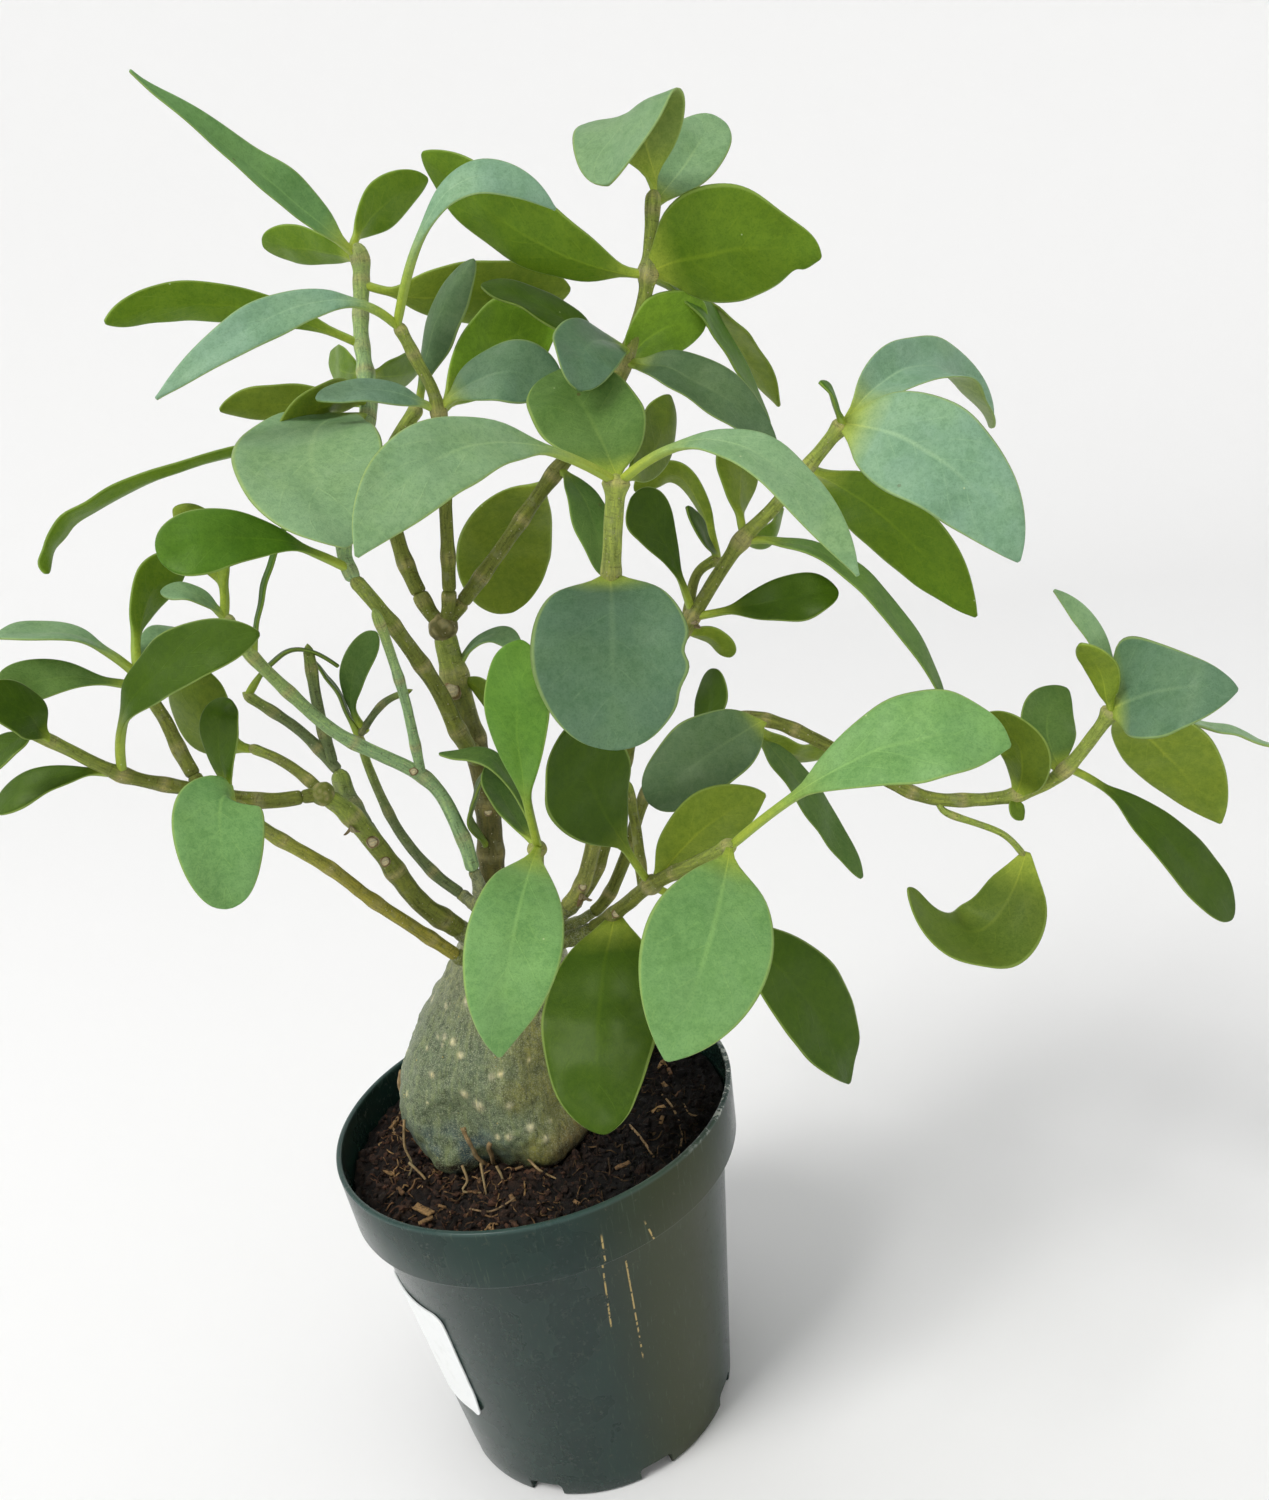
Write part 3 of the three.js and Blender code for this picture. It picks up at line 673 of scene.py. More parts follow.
shoot("left_long_shoot", "left_stem", 5, [
    stem(1.9, 1.3, [(-28, -18, 190), (-40, -22, 192), (-53, -27, 199), (-64, -32, 206),
         (-72, -38, 216), (-76, -41, 221)], OLIVE_BARK),
], [
    # Arched back over the shoot
    leaf((-64, -32, 206), (-50, -42, 225), (-22, -52, 232), 12, 75, STALKED, DEEP),
    # Dark, low left
    leaf((-64, -32, 206), (-75, -36, 209), (-89, -38, 205), 9, -40, SPOON, DEEP),
    # Left edge upper
    leaf((-73, -39, 217), (-73, -44, 224), (-77, -50, 231), 11, -85, OVAL, DEEP),
    # Left edge lower
    leaf((-75, -40, 220), (-78, -44, 219), (-85, -46, 213), 9, -30, OVAL, DEEP),
])

shoot("left_rising_shoot", "left_long_shoot", 4, [
    stem(1.8, 1.3, [(-51, -26, 198), (-54, -24, 207), (-55, -24, 214), (-56, -25, 219),
         (-57, -26, 226)], OLIVE_BARK),
], [
    # Upright behind the dark leaf
    leaf((-57, -26, 225), (-54, -20, 239), (-45, -12, 246), 11, -70, STALKED, GREEN),
    # Light to the left
    leaf((-57, -26, 225), (-66, -30, 236), (-79, -34, 239), 10, -25, STALKED, SAGE),
    # Dark to the left
    leaf((-56, -26, 222), (-69, -32, 228), (-80, -38, 229), 10, -50, SPOON, MID),
    # Small bluish
    leaf((-57, -26, 225), (-54, -18, 231), (-51, -8, 230), 7, 30, OVAL, SAGE),
])

shoot("left_grey_shoot", "left_stem", 6, [
    stem(2.6, 2.4, [(-21, -12, 174), (-27, -2, 183), (-28, 0, 191)], GREY_BARK),
    stem(1.5, 1.3, [(-28, 0, 190), (-35, 2, 201), (-46, 2, 213)], GREY_BARK),
    stem(1.5, 1.4, [(-29, 0, 192), (-30, 4, 205), (-29, 6, 221)], GREY_BARK),
], [
    # Thin arched
    leaf((-45, 2, 212), (-33, 4, 220), (-23, 6, 214), 3, 0, STRAP, DEEP),
])

# %% Thin stems behind on the left
shoot("pale_stem", "caudex", 16, [
    stem(2, 1.4, [(-1, 0, 146), (-1, -5, 160), (-2, -5, 171), (-7, -4, 185), (-23, -8, 200),
         (-31, -12, 213), (-37, -15, 225), (-39, -17, 234)], PALE_BARK),
    stem(1.3, 1.1, [(-8, -4, 186), (-6, -12, 206), (-5, -22, 222), (-5, -27, 230)], PALE_BARK),
], [
    # Olive upright
    leaf((-39, -17, 233), (-39, -12, 245), (-47, -4, 257), 11, 125, STALKED, OLIVE),
    # Light small
    leaf((-39, -17, 233), (-43, -20, 239), (-49, -22, 241), 7, -45, OVAL, SAGE),
    # Thin upright
    leaf((-36, -15, 223), (-32, -8, 236), (-25, 2, 250), 2.5, -10, STRAP, GREEN),
])

shoot("thin_left_stem", "caudex", 14, [
    stem(1.7, 1.1, [(-2, 3, 141), (-4, 0, 150), (-12, 2, 159), (-19, 6, 171), (-23, 10, 186),
         (-24, 12, 196)], GREY_BARK),
    stem(1, 0.9, [(-24, 12, 195), (-16, 12, 202), (-8, 12, 204)], GREY_BARK),
], [
    # Dark upright
    leaf((-22, 12, 196), (-23, 12, 207), (-13, 10, 220), 8, 80, SPOON, MID),
    # Small dark thin
    leaf((-24, 12, 195), (-27, 13, 207), (-31, 12, 216), 4, 0, STRAP, DEEP),
])

# %% The centre stem and what grows on it
shoot("centre_stem", "caudex", 14, [
    stem(3.5, 3, [(1, 6, 140), (2, 4, 155), (5, 4, 175), (5, 5, 185), (4, 4, 206),
         (4, 3, 219)], BROWN_BARK),
    knuckle(3.6, (4, 3, 219)),
], [
    # Narrow at the foot
    leaf((3, 4, 161), (2, -6, 175), (9, -8, 186), 5, 65, OVAL, DEEP),
    # Small arched
    leaf((4, 4, 208), (15, 2, 215), (21, -2, 210), 6, 35, OVAL, SAGE),
    # Small dark
    leaf((4, 4, 206), (10, 0, 203), (13, -4, 197), 6, -100, OVAL, DARK_OLIVE),
])

shoot("forked_left_stem", "centre_stem", 8, [
    stem(2.4, 1.6, [(5, 5, 184), (3, -3, 194), (1, -6, 206), (-3, -14, 221), (-6, -21, 231),
         (-8, -26, 237)], OLIVE_BARK),
    stem(1.6, 1.9, [(-8, -25, 236), (-9, -22, 243), (-7, -8, 256), (-2, 6, 270), (-1, 16, 288),
         (2, 20, 303), (1, 20, 308)], PALE_BARK),
], [
    # Dark, to the left
    leaf((-8, -24, 238), (-23, -38, 249), (-39, -44, 248), 14, -60, SPOON, GREEN),
    # Broad, falling in front
    leaf((-2, 5, 269), (-10, -22, 265), (-4, -44, 244), 30, -10, OVAL, SAGE),
    # Narrow, long, low left
    leaf((-3, 4, 267), (-53, -14, 263), (-71, -22, 249), 7, 25, STRAP, GREEN),
    # Olive behind left
    leaf((-2, 7, 272), (-18, 4, 275), (-33, 0, 276), 9, 50, OVAL, OLIVE),
    # Olive folded
    leaf((-2, 7, 272), (-8, -4, 273), (-19, -14, 268), 12, 40, OVAL, OLIVE),
    # Green behind left
    leaf((-1, 12, 279), (-8, 22, 281), (-12, 34, 287), 10, 105, OVAL, GREEN),
    # Green behind right
    leaf((-1, 12, 279), (4, 22, 278), (10, 34, 280), 10, -50, OVAL, GREEN),
    # Olive, far left
    leaf((-1, 15, 285), (-27, 6, 298), (-50, -6, 297), 10.5, 45, OVAL, GREEN),
    # Long pointed, high left
    leaf((2, 20, 304), (-13, 10, 322), (-31, -6, 342), 9, -80, DAGGER, FRESH, cup=0.5),
    # Olive, right of the tip
    leaf((1, 20, 307), (8, 26, 315), (20, 34, 321), 11, -70, OVAL, GREEN),
    # Low left of the tip
    leaf((2, 20, 304), (-11, 28, 310), (-22, 34, 313), 10, 60, BROAD, GREEN),
    # Olive behind the centre
    leaf((1, 19, 299), (18, 20, 293), (49, 28, 290), 17, -50, STALKED, OLIVE),
])

shoot("centre_left_shoot", "centre_stem", 10, [
    stem(2.1, 1.7, [(4, 3, 219), (1, 4, 225), (-2, 6, 238), (-2, 8, 254), (3, 8, 263),
         (10, 8, 270)], OLIVE_BARK),
], [
    # Dark upright, spotted
    leaf((9, 8, 269), (17, 2, 284), (29, -4, 296), 9, 90, OVAL, DUSTY, cup=-0.5),
])

shoot("centre_shoot", "centre_stem", 10, [
    stem(1.8, 1.3, [(4, 3, 219), (7, 1, 225), (11, -2, 244), (15, -6, 267), (13, -9, 278),
         (11, -12, 286)], OLIVE_BARK),
], [
    # Bluish, drooping left
    leaf((11, -12, 285), (-6, -20, 291), (-36, -30, 278), 9, -65, DRAWN, BLUE),
    # Arched over right
    leaf((11, -12, 285), (29, -20, 307), (48, -18, 300), 8, 60, DRAWN, BLUE),
    # Short, left
    leaf((15, -6, 267), (4, -12, 273), (-8, -18, 273), 8, -50, OVAL, BLUE),
    # Dark bluish, right
    leaf((15, -6, 267), (30, -8, 272), (42, -8, 266), 15, 60, OVAL, SLATE),
    # Bright underside
    leaf((15, -6, 266), (31, 14, 280), (44, 20, 281), 19, -85, BROAD, BRIGHT),
])

shoot("centre_right_shoot", "centre_stem", 8, [
    stem(1.9, 1.6, [(4, 3, 219), (11, 3, 225), (22, 4, 235), (37, 6, 249), (50, 6, 259),
         (56, 5, 268), (63, 4, 280), (66, 2, 288), (70, 0, 304)], OLIVE_BARK),
], [
    # Olive, wavy, behind
    leaf((36, 6, 248), (21, 20, 234), (19, 28, 216), 24, 30, BROAD, OLIVE),
    # Dark, below the crook
    leaf((38, 6, 250), (43, -2, 240), (44, -8, 225), 11, -10, OVAL, MID),
    # Bluish round, small
    leaf((59, 5, 272), (50, -14, 274), (46, -26, 265), 15, -45, BROAD, SLATE),
    # Bright, right
    leaf((57, 5, 269), (67, 6, 276), (77, 10, 274), 17, -55, BROAD, BRIGHT),
    # Dark glossy, right
    leaf((57, 5, 270), (73, -4, 262), (87, -8, 245), 12.5, 45, ACUTE, DUSTY, cup=0.3),
    # Dark, left behind
    leaf((56, 5, 267), (45, 6, 282), (29, 6, 292), 12, -35, OVAL, DEEP),
    # Long dark, falling right
    leaf((66, 2, 287), (79, 12, 276), (90, 18, 249), 12, 55, STRAP, GREEN),
    # Behind the long dark
    leaf((66, 2, 287), (83, 24, 275), (96, 34, 254), 12, 15, OVAL, OLIVE),
    # Olive broad, right
    leaf((66, 2, 288), (86, -6, 288), (102, -8, 283), 26, -60, DELTA, GREEN,
         notches=((0.8, 0.2, 0.35, -1), (0.86, 0.05, 0.35, 1),)),
    # Long green, left
    leaf((66, 2, 287), (43, 0, 298), (23, 0, 319), 17, 50, OVAL, GREEN),
    # Top, folded forward
    leaf((69.7, 0.2, 302.6), (68, -4, 318), (59, -18, 303), 24, 0, BROAD, SAGE),
    # Top right
    leaf((69, 0.5, 300), (80, 8, 310), (87, 14, 318), 14, 50, BROAD, SAGE),
])

# %% Shoots in front
shoot("front_stem", "caudex", 12, [
    stem(2, 2.1, [(10, -3, 140), (17, -5, 145), (25, -7, 153), (33, -13, 174), (40, -24, 200),
         (45, -32, 227), (50, -34, 248)], CORKY_BARK),
], [
    # Light, arched to the left
    leaf((50, -34, 246), (25, -56, 258), (4, -76, 244), 16, -50, DRAWN, SAGE),
    # Light, arched to the right
    leaf((50, -34, 246), (73, -50, 249), (89, -62, 223), 11, 30, DRAWN, SAGE),
    # Round, hanging
    leaf((45, -32, 228), (43, -46, 217), (39, -50, 196), 32, -20, ROUND, SLATE,
         notches=((0.56, 0.04, 0.13, 1), (0.74, 0.05, 0.08, 1))),
    # Dark, upright behind
    leaf((50, -34, 246), (47, -24, 259), (42, -15, 270), 24, -5, BROAD, MID),
    # Olive, upright behind
    leaf((50, -34, 246), (59, -20, 251), (65, -10, 261), 12, -95, OVAL, DARK_OLIVE),
])

shoot("low_front_stem", "caudex", 12, [
    stem(1.8, 1.6, [(8, -4, 142), (14, -15, 156), (18, -28, 172)], OLIVE_BARK),
], [
    # Bright, upright
    leaf((18, -27, 171), (20, -40, 198), (25, -42, 220), 14, 135, STALKED, BRIGHT),
    # Light, hanging
    leaf((18, -27, 171), (12, -56, 163), (5, -62, 141), 20, -30, ACUTE, FRESH),
    # Small dark, left
    leaf((18, -27, 171), (13, -20, 188), (-1, -14, 193), 6, 0, OVAL, MID),
    # Dark behind
    leaf((18, -27, 171), (12, -20, 180), (10, -15, 189), 9, 15, OVAL, MID),
])

shoot("low_right_stem", "caudex", 12, [
    stem(2.2, 1.5, [(13, -2, 135), (26, -3, 139), (34, -10, 146), (41, -20, 154), (52, -34, 163),
         (60, -45, 170)], OLIVE_BARK),
    stem(1.4, 1.3, [(39, -17, 151), (40, -10, 164), (40, -8, 177)], OLIVE_BARK),
], [
    # Dark, up to the left
    leaf((41, -20, 154), (33, -30, 180), (30, -37, 199), 24, -110, DRAWN, DEEP),
    # Olive, right
    leaf((41, -21, 154), (56, -25, 168), (70, -28, 173), 16, -75, ACUTE, OLIVE),
    # Light, hanging in front
    leaf((59, -44, 169), (50, -64, 157), (38, -72, 139), 26, -35, ACUTE, FRESH),
    # Light, long, right
    leaf((59, -44, 169), (91, -54, 187), (115, -58, 184), 20, 45, DRAWN, FRESH),
    # Dark, hanging right behind
    leaf((41, -20, 154), (69, -15, 122), (81, -14, 88), 23, 60, DRAWN, DEEP),
    # Dark, hanging middle
    leaf((31, -6, 142), (23, -30, 126), (21, -44, 107), 29, 5, SHIELD, DEEP),
])

# %% Shoots on the right
shoot("right_stem", "caudex", 14, [
    stem(2, 1.7, [(11, 6, 135), (26, 8, 147), (36, 8, 167), (47, 6, 191), (61, 4, 208),
         (76, 2, 225), (86, -1, 233), (103, -8, 249)], OLIVE_BARK),
    stem(1.4, 1.3, [(61, 4, 208), (66, 10, 219), (73, 12, 222)], OLIVE_BARK),
], [
    # Dark, right
    leaf((62, 4, 210), (80, -2, 211), (97, -4, 211), 13, 50, STALKED, DEEP),
    # Long, arched, right
    leaf((77, 2, 226), (100, -6, 215), (117, -12, 182), 8, 25, STRAP, MID),
    # Olive, right
    leaf((94, -4, 240), (115, 8, 222), (131, 4, 197), 18, -50, ACUTE, GREEN),
    # Light, right
    leaf((102, -8, 248), (119, -22, 237), (131, -28, 214), 24, 55, DELTA, BLUE),
    # Top, folded
    leaf((102, -8, 248), (125, 4, 257), (142, 14, 240), 20, 45, BROAD, BLUE, cup=0.5,
         notches=((0.45, 0.4, 0.3, 1),)),
    # Small, top
    leaf((102, -8, 248), (100, -12, 254), (97, -14, 258), 4, -75, OVAL, GREEN),
    # Upright behind the arched leaf
    leaf((78, 2, 227), (79, 8, 237), (84, 16, 250), 14, -120, STALKED, OLIVE),
    # Olive, arched left
    leaf((72, 12, 222), (67, 14, 242), (55, 14, 241), 8, 50, STRAP, OLIVE),
    # Dark narrow, left
    leaf((72, 12, 222), (69, 8, 228), (66, 4, 236), 6, -80, OVAL, DEEP),
    # Small dark under the stem
    leaf((77, 2, 226), (85, 12, 225), (91, 18, 230), 7, -70, OVAL, GREEN),
    # Dark, bent, left
    leaf((63, 4, 211), (59, -2, 229), (53, -6, 241), 13, -100, SPOON, DEEP),
    # Small olive low
    leaf((60, 4, 207), (67, 6, 204), (71, 8, 198), 7, -35, BROAD, OLIVE),
])

shoot("right_low_stem", "caudex", 14, [
    stem(1.8, 1.6, [(11, 12, 132), (26, 15, 136), (35, 14, 148), (42, 11, 163), (49, 8, 173),
         (60, 4, 182), (70, 0, 184), (78, -2, 182), (89, -6, 175), (107, -12, 161),
         (121, -16, 158), (132, -19, 159), (140, -22, 164), (150, -27, 178)], OLIVE_BARK),
    # Carries the curled leaf
    stem(0.9, 0.8, [(112, -13, 159), (113, -15, 156), (125, -17, 149), (130, -18, 142)], YOUNG_BARK),
], [
    # Dark, left
    leaf((76, -2, 183), (62, -6, 179), (44, -8, 170), 20, -50, BROAD, DUSTY),
    # Small dark upright
    leaf((60, 4, 182), (64, 8, 187), (66, 12, 195), 11, -15, BROAD, DEEP),
    # Dark, low, narrow
    leaf((70, 0, 184), (83, 8, 162), (95, 6, 134), 10, 60, OVAL, MID),
    # Brown behind
    leaf((72, -1, 184), (83, 10, 170), (96, 18, 165), 9, -30, OVAL, OLIVE),
    # Dark spatulate, right
    leaf((140, -22, 164), (158, -22, 147), (177, -22, 118), 13, 65, SPOON, DEEP),
    # Dark upright
    leaf((139, -21, 163), (139, -14, 173), (147, -8, 178), 14, 35, SHIELD, MID),
    # Curled
    leaf((129, -18, 158), (129, -24, 171), (124, -16, 178), 13, 60, SHIELD, DARK_OLIVE),
    # Nub
    leaf((129, -18, 158), (128, -20, 156), (129, -21, 153), 4, -20, OVAL, DARK_OLIVE),
    # Crescent, curled under
    leaf((130, -18, 143), (115, -22, 127.5), (100, -24, 143), 27, -26, SHIELD, OLIVE,
         notches=((0.25, 0.25, 0.4, -1), (0.5, 0.2, 0.2, -1), (0.82, 0.25, 0.7, -1))),
    # Thin, high
    leaf((149, -27, 177), (149, -24, 191), (141, -20, 205), 5, -35, OVAL, SAGE),
    # Bluish, right
    leaf((149, -27, 177), (157, -38, 183), (168, -44, 182), 22, 55, DELTA, SLATE,
         notches=((0.12, 0.24, -0.6, 1), (0.8, 0.35, 0.3, 1))),
    # Yellow underside
    leaf((149, -27, 177), (146, -30, 187), (141, -32, 195), 8, 10, OVAL, OLIVE),
    # Olive, hanging right
    leaf((149, -26, 177), (163, -22, 163), (176, -20, 142), 19, -45, ACUTE, OLIVE),
    # Thin, far right
    leaf((149, -27, 177), (173, -18, 167), (194, -16, 156), 5, 15, STRAP, SAGE),
])

print("shoots:", len(shoots), "leaves:", sum(len(s["leaves"]) for s in shoots))

# %% [markdown]
# ## The finish of leaves and bark
# A leaf's colour comes from its tint, with soft patches a few millimetres wide, a lighter
# midrib and side veins, and a thin pale margin, which the grain places. A leather-like surface is half
# glossy, so its roughness varies a little and fine relief breaks the reflection. Bark has streaks
# along the stem, small cracks across it and pale pores.

# %% Leaf finish
def make_leaf_finish():
    finish = Finish("leaf", IOR=1.45, Specular_IOR_Level=0.3, Specular_Tint=(0.8, 1.0, 0.4, 1),
                    Coat_Weight=0.06, Coat_Roughness=0.3)
    tint = finish.painted("tint")
    along, across, upper = finish.parts(finish.painted("grain", "Vector"))
    off = abs(across)
    patches = finish.cloud(7, detail=3)
    mottles = finish.cloud(1.6, detail=5, roughness=0.7)
    fine = finish.cloud(0.4, detail=4, roughness=0.7)
    midrib = off.ramp(0.07, 0.0) * along.ramp(0.9, 0.25)
    slant = finish.node("Math", {"operation": "FRACT"}, {0: (along - 0.3 * off) * 7 + 0.25 * patches})
    veins = abs(slant - 0.5).ramp(0.055, 0.0) * off.ramp(0.95, 0.6) * finish.cloud(5).ramp(0.35, 0.6)
    colour = finish.mix(patches.ramp(0.42, 0.62) * 0.3, tint, finish.scaled(tint, (0.7, 0.8, 0.68)))
    paler = finish.cloud(15).ramp(0.45, 0.65) * 0.3
    colour = finish.mix(paler, colour, finish.scaled(tint, (1.3, 1.18, 1.0)))
    colour = finish.mix(mottles.ramp(0.5, 0.6) * 0.32, colour, finish.scaled(tint, (0.55, 0.68, 0.6)))
    colour = finish.mix(mottles.ramp(0.48, 0.38) * 0.3, colour, finish.scaled(tint, (1.4, 1.28, 1.3)))
    colour = finish.mix(midrib * 0.6 + veins * 0.28, colour, finish.scaled(tint, (1.75, 1.5, 1.4)))
    bloom = upper * finish.cloud(11, detail=5, roughness=0.6).ramp(0.42, 0.62) * 0.25
    colour = finish.mix(bloom, colour, finish.scaled(tint, (1.35, 1.2, 1.5)))
    colour = finish.mix(fine.ramp(0.5, 0.62) * 0.2, colour, finish.scaled(tint, (0.42, 0.55, 0.45)))
    colour = finish.mix(off.ramp(0.955, 1.0) * 0.4, colour, paint("9fb55f"))
    colour = finish.mix(finish.dots(4.5, 0.12, 0.22) * 0.55, colour, paint("c4cf9e"))
    colour = finish.mix(finish.dots(9, 0.1, 0.45) * 0.6, colour, paint("5a4a2c"))
    finish.relief(fine * 0.4 + mottles * 0.5 + patches * 0.4 + veins * 0.3, 0.14, 0.8)
    return finish.wear(Base_Color=colour, Roughness=0.36 + 0.14 * patches + 0.1 * mottles)


def make_bark_finish():
    finish = Finish("bark", Specular_IOR_Level=0.25, Specular_Tint=(0.9, 1.0, 0.6, 1))
    tint = finish.painted("tint")
    grain = finish.painted("grain", "Vector")
    streaks = finish.cloud(0, detail=5, roughness=0.7, at=finish.scaled(grain, (0.2, 2.4, 2.4)))
    cracks = finish.cloud(0, detail=4, roughness=0.7, at=finish.scaled(grain, (2.2, 1.0, 1.0)))
    patches = finish.cloud(3.5, detail=3)
    grit = finish.cloud(0.5, detail=3, roughness=0.7)
    pores = finish.dots(1.1, 0.4, 0.17)
    # The lighter golden streaks on the ridges of the bark are partly pale streaks of its own and partly
    # painted highlights.
    colour = finish.mix(streaks.ramp(0.51, 0.6) * 0.55, tint, finish.scaled(tint, (1.7, 1.6, 1.25)))
    colour = finish.mix(streaks.ramp(0.47, 0.36) * 0.7, colour, finish.scaled(tint, (0.42, 0.46, 0.38)))
    colour = finish.mix(patches.ramp(0.55, 0.68) * 0.3, colour, paint("8e8f70"))
    colour = finish.mix(cracks.ramp(0.56, 0.64) * 0.45, colour, paint("40361f"))
    colour = finish.mix(grit.ramp(0.53, 0.62) * 0.3, colour, finish.scaled(tint, (1.9, 1.75, 1.5)))
    colour = finish.mix(pores * 0.75, colour, paint("c8c29c"))
    finish.relief(streaks * 0.6 + cracks * 0.5 + pores + grit * 0.3, 0.3)
    return finish.wear(Base_Color=colour, Roughness=0.42 + 0.3 * patches)


leaf_finish = make_leaf_finish()
bark_finish = make_bark_finish()
FOLIAGE = (bark_finish, leaf_finish)
print("materials:", leaf_finish.name, bark_finish.name)

# %% [markdown]
# ## Putting the shoots together
# A shoot's first millimetres belong to what it grows on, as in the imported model, so that each
# piece stays where its node is. The stub is a little slimmer than the shoot, which hides the joint
# under the ring of a node.

# %% Grow the shoots
STUB_SHARE = 0.95
JOINT_OVERLAP = 0.6
WHOLE = math.inf
SCAR_PALE = shade("b9b091")
SCAR_BROWN = shade("6b5233")
# The shoot, the place and the radius of scars where shoots were cut
SCARS = [("centre_stem", (2.9, 1.3, 203.9), 2.3), ("low_right_stem", (31.2, -9.2, 143.8), 1.2),
         ("pale_stem", (-9.2, -6.0, 188.0), 1.1), ("left_stem", (-20.6, -15.3, 175.6), 1.5),
         ("left_stem", (-19.2, -14.0, 169.9), 1.3), ("centre_stem", (4.9, 1.0, 172.5), 1.2),
         ("front_stem", (24.6, -8.7, 152.3), 1.1)]
HUSK_SCALES = 5
# The shoot, the place and the length of dry scales
HUSKS = [("right_stem", (62.4, 4.2, 210.5), 4.2), ("front_stem", (23.8, -8.4, 150.6), 3.4),
         ("centre_stem", (2.4, 1.3, 154.6), 3.2), ("left_stem", (-24.0, -17.4, 181.2), 2.6)]


def slimmer(part, share):
    return {**part, "foot_radius": part["foot_radius"] * share, "end_radius": part["end_radius"] * share}


def add_stubs(bm, name):
    """The feet of the shoots that grow on a piece."""
    for number, grown in enumerate(shoots):
        if grown["on"] == name:
            add_stem(bm, slimmer(grown["stems"][0], STUB_SHARE), 0, grown["foot"], [], number)


def add_scar(bm, place, radius):
    """A healed cut that faces the front: a low lumpy disc with a corky rim and a pale middle."""
    disc = start_piece()
    bmesh.ops.create_uvsphere(disc, u_segments=16, v_segments=10, radius=1)
    place = Vector(place)
    turned = (EYE / MM - place).to_track_quat("Z", "Y").to_matrix()
    for vertex in disc.verts:
        p = vertex.co.copy()
        rim = math.exp(-((math.hypot(p.x, p.y) - 0.85) / 0.16) ** 2)
        lumps = 1 + 0.35 * noise.noise(place + p * 1.3)
        tint = mixed(SCAR_PALE, SCAR_BROWN, min(1.0, rim + 0.5 * max(0.0, noise.noise(place + 4 * p))))
        local = Vector((p.x * lumps, p.y * lumps, 0.55 * p.z + (0.15 * rim if p.z > 0 else 0)))
        vertex.co = (place + turned @ (local * radius)) * MM
        record(disc, vertex, tint, (p.x, p.y, p.z))
    join(bm, disc)


def add_husk(bm, place, length, seed):
    """A few dry scales of a dead bud, round a place on a stem."""
    draw = random.Random(seed)
    for _ in range(HUSK_SCALES):
        scale = slab(8, 4)
        heading = Matrix.Rotation(draw.uniform(0, 6.3), 3, "Z")
        turned = heading @ Matrix.Rotation(draw.uniform(0.3, 1.3), 3, "Y")
        tint = mixed(SCAR_BROWN, SCAR_PALE, draw.random())
        for vertex in scale.verts:
            x, y, z = vertex.co
            width = 0.5 * math.sqrt(max(0.02, 1 - 4 * x * x))
            bend = 0.35 * (x + 0.5) ** 2 - 0.6 * y * y
            local = Vector((x + 0.5, y * width, bend + 0.08 * z))
            vertex.co = (Vector(place) + turned @ (local * length)) * MM
            record(scale, vertex, tint, (x, y, z))
        join(bm, scale)


def grow(number, plan):
    """One shoot with its twigs and leaves, as one piece."""
    bm = start_piece()
    main, *others = plan["stems"]
    add_stem(bm, main, plan["foot"] - JOINT_OVERLAP, WHOLE, plan["leaves"], number)
    for place, other in enumerate(others):
        if "centre" in other:
            add_knuckle(bm, other, main["bark"])
        else:
            add_stem(bm, other, 0, WHOLE, plan["leaves"], 100 * number + place)
    add_stubs(bm, plan["name"])
    for place, row in enumerate(plan["leaves"]):
        add_leaf(bm, row, 1000 * number + place)
    for name, place, radius in SCARS:
        if name == plan["name"]:
            add_scar(bm, place, radius)
    for seed, (name, place, length) in enumerate(HUSKS):
        if name == plan["name"]:
            add_husk(bm, place, length, seed)
    finish_piece(bm, plan["name"] + "_grown", FOLIAGE, "leaf_and_stem", plan["name"], subdivide=1)


for number, plan in enumerate(shoots):
    grow(number, plan)

# %% [markdown]
# ## The tuber
# The caudex is a swollen tuber with bulging lobes at its foot and a crown that draws in to the
# stems. It begins as a sphere that is drawn out to a leaning cone. The feet of the stems are added and
# the whole is remeshed in small voxels, which joins them to the tuber in one skin, as they grow.
# Low relief and pale pores are then raised from that skin.

# %% Form of the tuber
TUBER_FOOT = 66
TUBER_CROWN = 152
TUBER_RADIUS = 25
TUBER_MIDDLE = Vector((-8, 6, 0))
CROWN_SHIFT = Vector((12, -3, 0))
LEAN_FROM = 100
FOOT_SHRINK = 0.5
FULL_FROM = 98
CROWN_SHRINK = 0.62
SHOULDER = 104
LOBE_DEPTH = 0.09
LOBES_FADE_FROM = 92
LOBES_GONE_AT = 126
BLUNTNESS = 1.45
# Swellings at the foot: angle in degrees, height, how far they stand out, and their size
SWELLINGS = [(-124, 86, 7.0, 7.5), (-62, 86, 6.5, 8.0), (-38, 87, 5.0, 8.0), (-86, 93, 1.2, 6.0),
             (70, 90, 2.0, 9.0), (165, 92, 1.5, 8.0)]


def tuber_axis(z):
    lean = smooth_share(LEAN_FROM, TUBER_CROWN, z)
    return TUBER_MIDDLE + CROWN_SHIFT * lean + Vector((0, 0, z))


def tuber_radius(z, angle):
    foot = 1 - FOOT_SHRINK * (1 - smooth_share(TUBER_FOOT, FULL_FROM, z))
    crown = 1 - CROWN_SHRINK * smooth_share(SHOULDER, TUBER_CROWN, z)
    low = 1 - smooth_share(LOBES_FADE_FROM, LOBES_GONE_AT, z)
    lobes = math.cos(5 * angle + 0.6) + 0.5 * math.cos(3 * angle + 2)
    radius = TUBER_RADIUS * foot * crown * (1 + LOBE_DEPTH * low * lobes)
    for place, height, reach, size in SWELLINGS:
        aside = math.remainder(angle - math.radians(place), 2 * math.pi) * TUBER_RADIUS
        radius += reach * math.exp(-(aside * aside + (z - height) ** 2) / size ** 2)
    return radius


